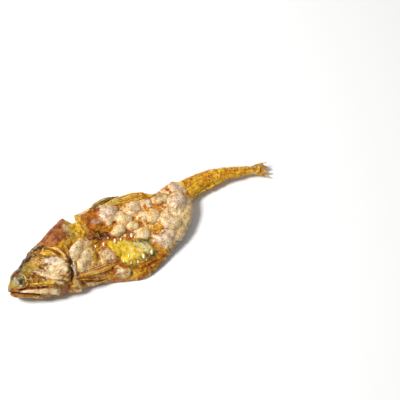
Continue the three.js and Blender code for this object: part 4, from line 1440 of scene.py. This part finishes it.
def build_eye(name, side):
    angle = np.linspace(0, 2 * np.pi, EYE_AROUND, endpoint=False)[None, :]
    reach = BALL + LID
    r = np.linspace(0.12, reach, EYE_RINGS)[:, None]
    across, down = r * np.cos(angle), r * np.sin(angle)
    s, d = EYE.s + across, EYE.d + down
    flat = on_sheet(s, d)
    ball = 0.5 * np.sqrt(clamp01(1 - (r / BALL) ** 2)) + 0.05 * noise(flat, 0.8, 131)
    # The pale hard ring shows behind and above the ball; before it the lid is brown and flat.
    behind = smooth(0.35, 0.8, np.cos(angle - 0.27))
    lid = (0.08 + 0.4 * behind) * bump(r - BALL - 0.4, 0.5) + 0.08 * noise(flat, 0.9, 133)
    crease = -(0.15 + 0.3 * behind) * bump(r - BALL * 0.97, 0.28)
    sink = -1.3 * smooth(reach - 0.5, reach, r)
    lift = ball + lid + crease + sink + 0.25
    l = flesh_height(s, d, side) + side * lift
    # The pupil has slid down over the ball, a brown cloud lies above it, and the front is milky.
    slit = bump(across - 0.2 - 0.2 * down, 0.9) * bump(down + 0.7, 1.2)
    cloud = 0.95 * bump(np.hypot(across * 0.7 - 0.1, down - 1.1), 1.2)
    milk = smooth(0.1, 0.8, -(0.94 * across + 0.34 * down) / BALL)
    # Painted shade: rim is the socket's shade round the ball; edge is shade in the crease and at the sunk
    # edge.
    ring = smooth(BALL - 0.25, BALL + 0.15, r) * (1 - 0.85 * milk * smooth(reach, reach - 0.5, r))
    before = 1 - behind
    edge = (0.5 + 0.4 * before) * smooth(reach - 0.5, reach, r)
    edge = edge + (0.15 + 0.7 * before) * bump(r - BALL * 0.97, 0.3)
    marks = {
        "pupil": smooth(0.2, 0.6, slit),
        "cloud": cloud,
        "milk": milk,
        "rim": ring,
        "lid": ring * behind * smooth(reach, reach - 0.35, r),
        "edge": edge * (1 - 0.6 * milk),
    }
    grid = place(s, d, l)
    centre = flesh_height(EYE.s, EYE.d, side)
    top = place(EYE.s, EYE.d, centre + side * 1.0)
    root = place(EYE.s, EYE.d, centre - side * 2.0)
    return loft(name, grid, top, root, eye_finish, marks)


for eye_name, eye_side in (("eye_left", 1), ("eye_right", -1)):
    finished(build_eye(eye_name, eye_side))

# %% [markdown]
# ## What is left of the fins
# The fins dried on to the skin as thin leaves: the two pectorals, each in two bunches, a strip of the
# second back fin, a torn scrap of the first, the anal fin's edge and the frayed tail. Each leaf is a thin
# slab pleated along its rays. The rays that stand out of it are made with Geometry Nodes below.

# %% A leaf of dried fin


def outermost(s, d, side):
    """Height of whatever lies outermost on that side: the flank skin or the flesh."""
    meat = flesh_height(s, d, side)
    if side < 0:
        return meat
    over = np.clip(d, flank.low(s) + 0.1, flank.top(s) - 0.1)
    return np.maximum(meat, np.where(s > 28.6, flank_height(s, over), 0))


LEAF_TILT = 0.35  # how far the leaves of the back turn up to the side
LEAF_THICK = 0.5  # millimetres
LEAF_ALONG, LEAF_ACROSS = 110, 40


def along_leaf(stations):
    """Curves of s, d, lift and width over a leaf from its root (0) to its tip (1)."""
    rows = [(i / (len(stations) - 1), *station) for i, station in enumerate(stations)]
    return curves("u s d lift width", rows)


def leaf_point(leaf, side, u, v):
    """A point on the leaf, u from root to tip and v across it from -1 to 1, with its lift included."""
    du = 0.01
    run_s, run_d = leaf.s(u + du) - leaf.s(u - du), leaf.d(u + du) - leaf.d(u - du)
    length = np.maximum(np.hypot(run_s, run_d), 1e-6)
    aside = v * leaf.width(u) / 2
    s, d = leaf.s(u) - run_d / length * aside, leaf.d(u) + run_s / length * aside
    under = outermost(leaf.s(u), np.minimum(leaf.d(u), flank.top(leaf.s(u))), side)
    tilt = smooth(45, 55, leaf.s(u)) * LEAF_TILT * aside
    return s, d, under + side * (leaf.lift(u) + tilt)


def leaf_ripple(u, v):
    """The gentle waves, in millimetres, in which a whole leaf dried."""
    return 0.2 * np.sin(9 * u + 2.5 * v)


def build_leaf(name, stations, side, rays, marks_for):
    """A leaf with that many pleats to each side, through those stations."""
    u, v = np.meshgrid(np.linspace(0, 1, LEAF_ALONG), np.linspace(-1, 1, LEAF_ACROSS), indexing="ij")
    s, d, l = leaf_point(along_leaf(stations), side, u, v)
    rough = 0.12 * grain(on_sheet(s, d), [2.0, 0.5, 2.0], 141)
    pleats = 0.22 * np.cos(np.pi * rays * v) + rough - 0.5 * v**4
    ripple = leaf_ripple(u, v)
    ragged = 0.5 * grain(on_line(3 * v), 0.8, 143) * smooth(0.8, 1.0, u)
    upper = place(s + ragged, d, l + side * (pleats + ripple))
    lower = place(s + ragged, d, l + side * (ripple - LEAF_THICK))
    return slab(name, upper, lower, fin_finish, marks_for(u, v, crest(pleats)))


def crest(pleats):
    """1 on the crests of the pleats and 0 between them."""
    return clamp01(0.5 + 2.2 * pleats)


print("at mid-body the flank stands", outermost(60, 0, 1).round(1), "mm over the spine")

# %% [markdown]
# ## Pectorals and back fins
# A leaf follows a few stations from root to tip: its place, how far it lifts off the skin and its width.
# The crests of the pleats dried pale and the web between them brown. The right pectorals lie on the ground
# and mirror the left ones.

# %% Pectorals and back fins
PECTORAL = [
    [(27.6, -7.4, 0.2, 1.8), (33, -8.4, 0.9, 3.0), (39, -9.3, 1.0, 3.4), (45.6, -10, 0.8, 0.8)],
    [(28.2, -9, 0.2, 1.6), (32, -10.6, 0.7, 2.8), (36, -12, 0.7, 3.0), (40.4, -13.2, 0.4, 0.8)],
]
BACK_STRIP = [
    (51.0, 16.2, 1.2, 1.0), (56.5, 16.1, 3.0, 3.2), (62.5, 15.3, 3.8, 4.0), (69.0, 14.1, 3.6, 3.0),
    (75.6, 11.6, 2.0, 0.4),
]
BACK_SCRAP = [
    (45.5, 17.4, 0.4, 1.8), (49.5, 18.7, 1.4, 3.2), (54.0, 19.0, 2.2, 2.6), (59.0, 18.8, 2.4, 0.5),
]


def pectoral_marks(u, v, ridge):
    upper = smooth(0.45, 0.9, v)
    return {
        "cream": 0.6 * upper + 0.2 * ridge,
        "yellow": 0.3 + 0.5 * upper + 0.4 * ridge,
        "red": 0.5 * (1 - upper) * smooth(0, 0.4, u) * (1 - 0.6 * ridge),
        "dark": 0.1 * (1 - ridge) * (1 - upper) + 0.3 * smooth(0.15, 0, u),
    }


def strip_marks(u, v, ridge):
    return {
        "yellow": 1.0 + 0.2 * ridge,
        "cream": 0.2 * ridge + 0.5 * smooth(0.85, 1.0, u) + 0.5 * smooth(0.7, 0.9, np.abs(v)),
        "olive": 0.35 * (1 - ridge) * smooth(0.0, 0.3, u),
    }


def scrap_marks(u, v, ridge):
    return {"cream": 0.35 + 0.4 * ridge, "olive": 0.6 + 0.2 * v, "dark": 0.3 * (1 - ridge)}


for side, side_name in ((1, "left"), (-1, "right")):
    for bunch, bunch_name in zip(PECTORAL, ("upper", "lower")):
        finished(build_leaf(f"pectoral_{side_name}_{bunch_name}", bunch, side, 4, pectoral_marks))
finished(build_leaf("back_fin_strip", BACK_STRIP, 1, 5, strip_marks))
finished(build_leaf("first_back_fin", BACK_SCRAP, 1, 4, scrap_marks))

# %% [markdown]
# ## The anal fin's edge and the tail fin
# The anal fin has torn off down to a frayed edge that stands out of the belly line. The tail fin dried as
# a narrow brush: its outline is a fan whose end is frayed by noise, more and more towards the tip.

# %% The anal fin's edge and the tail fin
ANAL_FIN = SimpleNamespace(start=90, end=106, height=2.6, lean=1.5, sunk=1.2, ray=0.9)
TAIL_FIN = SimpleNamespace(start=LENGTH - 3, length=5.4, middle=4.9, root=3.0, tip=6.6, rays=9)
THIN_EDGE = 0.1  # how far the rounded edge of these leaves swells out, in millimetres


def build_anal_fin():
    u, v = np.meshgrid(np.linspace(0, 1, 70), np.linspace(0, 1, 24), indexing="ij")
    s = mix(ANAL_FIN.start, ANAL_FIN.end, u)
    fray = 0.75 + 0.15 * np.sin(u * 17) ** 2 + 0.15 * grain(on_line(s), 1.0, 151)
    out = ANAL_FIN.height * np.sin(np.pi * clamp01(0.08 + 0.84 * u)) * fray * v
    d = flesh.low(s) + ANAL_FIN.sunk - out
    pleats = 0.15 * np.cos(2 * np.pi * (s - 0.4 * v) / ANAL_FIN.ray)
    leaning = s + ANAL_FIN.lean * v
    ridge = clamp01(0.5 + 3 * pleats)
    marks = {
        "yellow": 0.55 + 0.4 * ridge,
        "olive": 0.4 * (1 - ridge),
        "dark": 0.45 * (1 - ridge) + 0.4 * (1 - v) ** 3,
    }
    upper, lower = place(leaning, d, 0.45 + pleats), place(leaning, d, -0.3 + 0 * s)
    return slab("anal_fin_edge", upper, lower, fin_finish, marks, THIN_EDGE)


def build_tail_fin():
    u, v = np.meshgrid(np.linspace(0, 1, 50), np.linspace(0, 1, 80), indexing="ij")
    fan = mix(TAIL_FIN.root, TAIL_FIN.tip, u) + 0.5 * np.sin(v * 22) * u
    fray = 1 + (0.18 * np.sin(v * 19 + 1) + 0.2 * grain(on_line(9 * v), 0.7, 161)) * u
    s, d = TAIL_FIN.start + TAIL_FIN.length * u * fray, TAIL_FIN.middle + (v - 0.5) * fan
    pleats = 0.16 * np.cos(2 * np.pi * TAIL_FIN.rays * v)
    half = mix(0.8, 0.3, u)
    ridge = clamp01(0.5 + 3 * pleats)
    marks = {"yellow": 0.5 + 0.4 * ridge, "cream": 0.6 * u * ridge, "dark": 0.35 * (1 - ridge)}
    upper, lower = place(s, d, half + pleats), place(s, d, -half - pleats)
    return slab("tail_fin", upper, lower, fin_finish, marks, THIN_EDGE)


finished(build_anal_fin())
finished(build_tail_fin())

# %% [markdown]
# ## Pieces that grow from points
# What is too fine to place point by point grows from a source mesh by Geometry Nodes. Every tree ends
# in real faces with their material, and is run once over its source, so that a plain mesh is left. It is
# kept off the floor and turned outwards like the other pieces.

# %% Trees and what grows


def node_tree(name, inputs):
    """A Geometry Nodes tree with a geometry in and out, and named inputs of those kinds."""
    tree = bpy.data.node_groups.new(name, "GeometryNodeTree")
    tree.interface.new_socket("Geometry", in_out="OUTPUT", socket_type="NodeSocketGeometry")
    for label, kind in {"Geometry": "Geometry", **inputs, "Finish": "Material"}.items():
        tree.interface.new_socket(label, in_out="INPUT", socket_type="NodeSocket" + kind)
    return tree, add(tree, "NodeGroupInput").outputs


def close_tree(tree, given, shape):
    """Every tree ends alike: real faces with the finish on them, smooth to the eye."""
    real = add(tree, "GeometryNodeRealizeInstances", {"Geometry": shape}).outputs[0]
    even = add(tree, "GeometryNodeSetShadeSmooth", {"Geometry": real}).outputs[0]
    done = add(tree, "GeometryNodeSetMaterial", {"Geometry": even, "Material": given["Finish"]}).outputs[0]
    add(tree, "NodeGroupOutput", {"Geometry": done})
    return tree


def grown(name, source, tree, **settings):
    """Runs the tree over the source mesh and keeps what it makes as a plain mesh of its own."""
    holder = in_scene(name + "_source", source)
    nodes = holder.modifiers.new("nodes", "NODES")
    nodes.node_group = tree
    for item in tree.interface.items_tree:
        if item.in_out == "INPUT" and item.name in settings:
            nodes[item.identifier] = settings[item.name]
    graph = bpy.context.evaluated_depsgraph_get()
    mesh = bpy.data.meshes.new_from_object(holder.evaluated_get(graph), depsgraph=graph)
    holder.modifiers.remove(nodes)
    bpy.data.objects.remove(holder)
    points = np.empty(3 * len(mesh.vertices))
    mesh.vertices.foreach_get("co", points)
    points = points.reshape(-1, 3)
    points[:, 2] = np.maximum(points[:, 2], FLOOR_GAP * MM)
    mesh.vertices.foreach_set("co", points.ravel())
    if inside_out(points, [p.vertices for p in mesh.polygons]):
        mesh.flip_normals()
    mesh.name = name
    finished(in_scene(name, mesh))


# %% [markdown]
# ## Rays and torn fibres
# The rays of the fins, the threads of the torn belly edge and the tendons on the cheek are all thin round
# strands along a path. The paths are lines of points that carry a thickness, and the tree turns them into
# curves and sweeps a small ring along each.

# %% Strands along paths


def strand_tree():
    """Sweeps a ring along each line of points; its size follows the points' own thickness."""
    tree, given = node_tree("strands", {"Thickness": "Float", "Sides": "Int"})
    line = add(tree, "GeometryNodeMeshToCurve", {"Mesh": given["Geometry"]}).outputs[0]
    sides = {"Resolution": given["Sides"], "Radius": 0.5}
    ring = add(tree, "GeometryNodeCurvePrimitiveCircle", sides).outputs["Curve"]
    own = add(tree, "GeometryNodeInputNamedAttribute", {"Name": "thick"}).outputs["Attribute"]
    size = add(tree, "ShaderNodeMath", {0: own, 1: given["Thickness"]}, operation="MULTIPLY").outputs[0]
    sweep = {"Curve": line, "Profile Curve": ring, "Scale": size, "Fill Caps": True}
    swept = add(tree, "GeometryNodeCurveToMesh", sweep).outputs[0]
    return close_tree(tree, given, swept)


def lines(name, strands):
    """A mesh of open lines; each strand is its points, its thickness along them and its marks."""
    mesh = bpy.data.meshes.new(name)
    counts = [len(points) for points, _, _ in strands]
    starts = np.cumsum([0] + counts[:-1])
    edges = [(a + i, a + i + 1) for a, n in zip(starts, counts) for i in range(n - 1)]
    mesh.from_pydata((np.vstack([points for points, _, _ in strands]) * MM).tolist(), edges, [])
    names = {"thick"}.union(*(marks for _, _, marks in strands))
    for mark in sorted(names):
        values = [
            np.broadcast_to(thick if mark == "thick" else marks.get(mark, 0.0), (n,))
            for (_, thick, marks), n in zip(strands, counts)
        ]
        mark_points(mesh, mark, np.concatenate(values))
    return mesh


STRANDS = strand_tree()


def grown_strands(name, strands, thickness, sides, finish):
    """A piece of strands that are that many millimetres thick where their own thickness is 1."""
    grown(name, lines(name, strands), STRANDS, Thickness=thickness * MM, Sides=sides, Finish=finish)


print("tree:", STRANDS.name, "with", len(STRANDS.nodes), "nodes")

# %% [markdown]
# ## Rays of the fins
# The rays stand half out of their leaf, as they do on a real fin once the web between them has shrunk.
# They run from near the root to near the tip and are drawn with a fixed seed: each starts, ends and
# thickens a little differently, and dried straw yellow, amber, russet or bone white.

# %% Rays of the fins
STEPS = np.linspace(0, 1, 18)  # places along a strand
TAPER = 0.35 + 0.65 * np.sin(np.pi * clamp01(0.35 + 0.65 * STEPS)) ** 0.7  # its thickness there
STRAW = {"yellow": 0.8, "cream": 0.55}
AMBER = {"yellow": 0.35}
RUSSET = {"red": 0.75}
BONE = {"cream": 1.0, "lilac": 0.3}


def leaf_rays(stations, side, rays, seed, tones):
    """Rays over a leaf, from near its root to near its tip."""
    draw = np.random.default_rng(seed)
    leaf = along_leaf(stations)
    rows = []
    for k in range(rays):
        across = -0.85 + 1.7 * (k + draw.uniform(0.2, 0.8)) / rays
        u = mix(draw.uniform(0, 0.12), draw.uniform(0.8, 1.0), STEPS)
        s, d, l = leaf_point(leaf, side, u, across + 0.06 * np.sin(5 * u + k))
        points = place(s, d, l + side * (0.12 + leaf_ripple(u, across)))
        tone = tones[draw.integers(len(tones))]
        rows.append((points, TAPER * draw.uniform(0.7, 1.2), tone))
    return rows


for side, side_name in ((1, "left"), (-1, "right")):
    rays = leaf_rays(PECTORAL[0], side, rays=11, seed=301, tones=[STRAW, AMBER, RUSSET, STRAW])
    rays += leaf_rays(PECTORAL[1], side, rays=9, seed=302, tones=[AMBER, RUSSET, STRAW])
    grown_strands(f"pectoral_rays_{side_name}", rays, thickness=0.42, sides=6, finish=fin_finish)
strip_tones = [STRAW, {"yellow": 0.9}, STRAW, AMBER]
scrap_tones = [{"cream": 0.6, "olive": 0.6}, {"olive": 0.8}, BONE]
back_rays = leaf_rays(BACK_STRIP, 1, rays=11, seed=303, tones=strip_tones)
back_rays += leaf_rays(BACK_SCRAP, 1, rays=8, seed=304, tones=scrap_tones)
grown_strands("back_fin_rays", back_rays, thickness=0.3, sides=6, finish=fin_finish)

# %% [markdown]
# ## Tendons of the head
# Under the dried skin of the cheek and over the gill cover run a few tendons and bone ridges. Each is a
# strand through listed places, with its width, its lift over the skin and its colours. They are few and
# plain to see, so they are listed one by one and not drawn at random.

# %% Tendons of the head


def surface_line(stations, width, lift, marks):
    """A strand that lies on the left side of the fish through those places of the straight fish."""
    path = curves("u s d", [(i / (len(stations) - 1), *at) for i, at in enumerate(stations)])
    s, d = path.s(STEPS), path.d(STEPS)
    return place(s, d, outermost(s, d, 1) + lift), width * TAPER, marks


TENDONS = [
    ([(24.4, 7.5), (25.6, 5.2), (26.4, 2.8), (27.0, 0.2)], 0.8, 0.1, {"cream": 0.7, "yellow": 0.5}),
    ([(26.0, 7.6), (27.2, 5.2), (27.8, 2.8), (27.7, 0.4)], 0.7, 0.1, STRAW),
    ([(12.2, 2.8), (14.0, 1.4), (15.6, 0.0), (17.2, -1.8)], 0.5, 0.15, BONE),
    ([(10.6, -2.2), (13.0, -3.2), (15.6, -3.6), (18.0, -3.2)], 0.55, 0.1, STRAW),
    ([(14.6, -7.6), (17.0, -9.4), (19.4, -10.8)], 0.7, 0.1, BONE),
    ([(18.6, -5.2), (20.4, -6.6), (22.0, -8.6)], 0.6, 0.1, BONE),
    ([(13.2, 6.2), (16.4, 6.6), (19.2, 5.8)], 0.4, 0.1, STRAW),
    ([(27.4, -2.2), (27.9, -4.6), (27.6, -7.2)], 1.1, 0.1, {"lilac": 1.0, "cream": 0.4}),
]
tendons = [surface_line(*row) for row in TENDONS]
grown_strands("head_tendons", tendons, thickness=1.0, sides=8, finish=head_finish)

# %% [markdown]
# ## Torn threads and rays of the tail
# Where the belly was cut and where the skin tore at the rear, threads hang loose along the edge. They are
# too many to list, so they are drawn with a fixed seed within a band along it. The tail fin's rays fan
# out and end unevenly.

# %% Torn threads and rays of the tail
BELLY_THREADS, REAR_THREADS = 46, 90
TAIL_RAYS, TAIL_RAY = 21, 5.6  # how many there are, and how long one is in millimetres


def torn_threads():
    """Loose threads along the belly edge and the ragged rear edge of the flank skin."""
    draw = np.random.default_rng(311)
    rows = []
    for _ in range(BELLY_THREADS):
        start = draw.uniform(38, 60)
        s = start + draw.uniform(5, 11) * STEPS
        d = flank.low(s) + draw.uniform(0.3, 3.4) + 0.3 * np.sin(4 * STEPS + start)
        tone = (STRAW, AMBER, RUSSET, RUSSET)[draw.integers(4)]
        rows.append((place(s, d, outermost(s, d, 1) + 0.12), TAPER * draw.uniform(0.8, 1.3), tone))
    for _ in range(REAR_THREADS):
        start = draw.uniform(64, 88)
        s = start + draw.uniform(0.6, 1.6) * STEPS
        d = flank.low(start) + draw.uniform(0.0, 0.8) - draw.uniform(0.3, 1.1) * STEPS
        l = flank_height(start, flank.low(start) + 0.5) + 0.1 - 0.4 * STEPS
        rows.append((place(s, d, l), 0.45 * TAPER, {"cream": 0.9, "yellow": 0.4}))
    return rows


def tail_rays():
    """Rays that fan out over the tail fin, from just before its root."""
    draw = np.random.default_rng(321)
    rows = []
    for k in range(TAIL_RAYS):
        v = (k + draw.uniform(0.2, 0.8)) / TAIL_RAYS
        u = draw.uniform(0.85, 1.1) * STEPS
        d = TAIL_FIN.middle + (v - 0.5) * mix(TAIL_FIN.root, TAIL_FIN.tip, u) + 0.5 * np.sin(v * 22) * u
        points = place(TAIL_FIN.start - 1 + TAIL_RAY * u, d, mix(1.0, 0.4, u))
        rows.append((points, TAPER, (STRAW, AMBER, BONE)[k % 3]))
    return rows


grown_strands("torn_threads", torn_threads(), thickness=0.3, sides=6, finish=flank_finish)
grown_strands("tail_rays", tail_rays(), thickness=0.3, sides=6, finish=fin_finish)

# %% [markdown]
# ## Beads of bone
# The end of a rib that pokes through the skin is a white bead, a little longer than wide. The tree sets a
# small stretched ball on each point of its source and turns it along the rib.

# %% Beads


def bead_tree():
    """A stretched bead on each point, along the point's own direction and of its own size."""
    tree, given = node_tree("beads", {"Size": "Float", "Stretch": "Float"})
    ball = add(tree, "GeometryNodeMeshIcoSphere", {"Radius": 0.5, "Subdivisions": 2}).outputs["Mesh"]
    heading = add(tree, "GeometryNodeInputNamedAttribute", {"Name": "heading"}, data_type="FLOAT_VECTOR")
    along_it = {"Vector": heading.outputs["Attribute"]}
    turned = add(tree, "FunctionNodeAlignRotationToVector", along_it, axis="Z").outputs[0]
    own = add(tree, "GeometryNodeInputNamedAttribute", {"Name": "thick"}).outputs["Attribute"]
    size = add(tree, "ShaderNodeMath", {0: own, 1: given["Size"]}, operation="MULTIPLY").outputs[0]
    length = add(tree, "ShaderNodeMath", {0: size, 1: given["Stretch"]}, operation="MULTIPLY").outputs[0]
    scale = add(tree, "ShaderNodeCombineXYZ", {"X": size, "Y": size, "Z": length}).outputs[0]
    beads = {"Points": given["Geometry"], "Instance": ball, "Rotation": turned, "Scale": scale}
    placed = add(tree, "GeometryNodeInstanceOnPoints", beads).outputs[0]
    return close_tree(tree, given, placed)


BEADS = bead_tree()
print("tree:", BEADS.name, "with", len(BEADS.nodes), "nodes")

# %% [markdown]
# ## Rib ends
# Where the flank is thinnest the rib ends show in a row over the window and one under it, each at a listed
# place and with its own size. Rays cast down on the finished skin find how high each place lies.

# %% Rib ends
RIB_ENDS = [
    (40.2, 0.4, 0.7), (43.8, 0.0, 1.0), (46.6, 1.6, 0.5), (48.8, -0.8, 1.2), (51.4, -1.2, 0.8),
    (56.4, -1.4, 1.2), (48.6, -10.0, 0.8), (51.6, -8.8, 0.9), (51.2, -12.0, 0.7), (54.0, -9.4, 0.6),
    (54.0, -13.0, 0.8), (57.2, -11.8, 1.1), (61.2, -11.4, 1.3), (57.6, -13.8, 0.4), (74.8, 0.8, 0.8),
    (79.2, 0.6, 0.8),
]


def skin_under(s, d):
    """Where a line through that place of the straight fish comes out of the finished flank skin."""
    skin = bpy.data.objects["flank_skin"].data
    tree = BVHTree.FromPolygons([v.co for v in skin.vertices], [p.vertices for p in skin.polygons])
    high, low = place(s, d, 14.0), place(s, d, 0.0)
    hits = [tree.ray_cast(Vector(a) * MM, Vector(b - a))[0] for a, b in zip(high, low)]
    return np.array(hits) / MM


def rib_ends():
    """A mesh of loose points, one for each bead, which carry its size and its direction."""
    s, d, thick = np.array(RIB_ENDS).T
    foot = skin_under(s, d)
    along = place(s - 0.4, d - 1, 0.3) - place(s, d, 0)
    mesh = bpy.data.meshes.new("rib_ends")
    mesh.from_pydata((foot * MM).tolist(), [], [])
    mark_points(mesh, "thick", thick)
    heading = mesh.attributes.new("heading", "FLOAT_VECTOR", "POINT")
    heading.data.foreach_set("vector", along.ravel().astype(np.float32))
    return mesh


# Bone that the oil has soaked: ivory, smooth and glossy, with hardly a stain.
bone_finish = dried_skin(
    "bone_bead", "#e4d6aa", "#fffcee", rough=(0.12, 0.3), relief=0.4, coat=0.4, stained=0.3
)
grown("rib_ends", rib_ends(), BEADS, Size=1.05 * MM, Stretch=2.1, Finish=bone_finish)

# %% [markdown]
# ## Crumbs
# Crumbs of dried flesh stick to the torn rim, the scab and the strip behind the hump. They are too many
# to place by hand, so Geometry Nodes scatter small rough balls over the skin itself, as densely as one of
# its marks says, with a fixed seed and never two in one spot.

# %% Crumbs


def crumb_tree():
    """Rough little balls of random size over a surface, as dense as the named mark says."""
    inputs = {"Density": "Float", "Size": "Float", "Seed": "Int", "Mark": "String"}
    tree, given = node_tree("crumbs", inputs)
    own = add(tree, "GeometryNodeInputNamedAttribute", {"Name": given["Mark"]}).outputs["Attribute"]
    sown = {
        "Mesh": given["Geometry"],
        "Density Max": given["Density"],
        "Density Factor": own,
        "Seed": given["Seed"],
        "Distance Min": given["Size"],
    }
    spread = add(tree, "GeometryNodeDistributePointsOnFaces", sown, distribute_method="POISSON").outputs
    ball = add(tree, "GeometryNodeMeshIcoSphere", {"Radius": 0.5, "Subdivisions": 1}).outputs["Mesh"]
    size = add(tree, "FunctionNodeRandomValue", {2: 0.5, 3: 1.3, "Seed": given["Seed"]}).outputs[1]
    scale = add(tree, "ShaderNodeMath", {0: size, 1: given["Size"]}, operation="MULTIPLY").outputs[0]
    balls = {
        "Points": spread["Points"],
        "Instance": ball,
        "Rotation": spread["Rotation"],
        "Scale": scale,
    }
    placed = add(tree, "GeometryNodeInstanceOnPoints", balls).outputs[0]
    return close_tree(tree, given, placed)


CRUMBS = crumb_tree()
PER_SQUARE_MM = 1e6


def crumbs(name, skin, mark, finish, density, size, seed):
    """Crumbs on that skin: so many to a square millimetre, and about so many millimetres thick."""
    source = bpy.data.objects[skin].data.copy()
    settings = {"Density": density * PER_SQUARE_MM, "Size": size * MM, "Seed": seed, "Mark": mark}
    grown(name, source, CRUMBS, Finish=finish, **settings)
    bpy.data.meshes.remove(source)


crumbs("rim_crumbs", "flank_skin", "crumbly", fin_finish, density=1.6, size=0.55, seed=7)
crumbs("hump_crumbs", "trunk_flesh", "crumbly", trunk_finish, density=2.0, size=0.42, seed=8)

# %% [markdown]
# ## Salt and painted glints
# Grains of salt stick to nearly everything, thinly. They are scattered like the crumbs, but half as large
# and with a finish of their own. Their white also stands in for the tiny glints of the oily skin, as
# painted highlights.

# %% Salt
SALT_CLOUD = 0.667  # millimetres across one clearer or whiter part of the salt


def salt():
    """Table salt: clear cubes and splinters that look white, because they are many and small; also painted
    glints.
    """
    made, tree, surface = new_finish("salt_and_glint_grain", {"Roughness": 0.25, "IOR": 1.54})
    here = add(tree, "ShaderNodeTexCoord").outputs["Object"]
    cloudy = {"Vector": here, "Scale": scale_for(SALT_CLOUD)}
    cloud = add(tree, "ShaderNodeTexNoise", cloudy).outputs["Fac"]
    tones = {0: cloud, 6: linear("#e9d9b4"), 7: linear("#ffffff")}
    tone = add(tree, "ShaderNodeMix", tones, data_type="RGBA").outputs[2]
    tree.links.new(tone, surface.inputs["Base Color"])
    return made


salt_and_glint_finish = salt()
# White grains that are real salt and also painted glints of the oily skin.
crumbs("flank_salt_and_glints", "flank_skin", "salt_and_glints", salt_and_glint_finish, density=0.4, size=0.26, seed=9)
crumbs("trunk_salt_and_glints", "trunk_flesh", "salt_and_glints", salt_and_glint_finish, density=0.3, size=0.26, seed=11)
crumbs("head_salt_and_glints", "head_skin", "salt_and_glints", salt_and_glint_finish, density=0.14, size=0.24, seed=10)
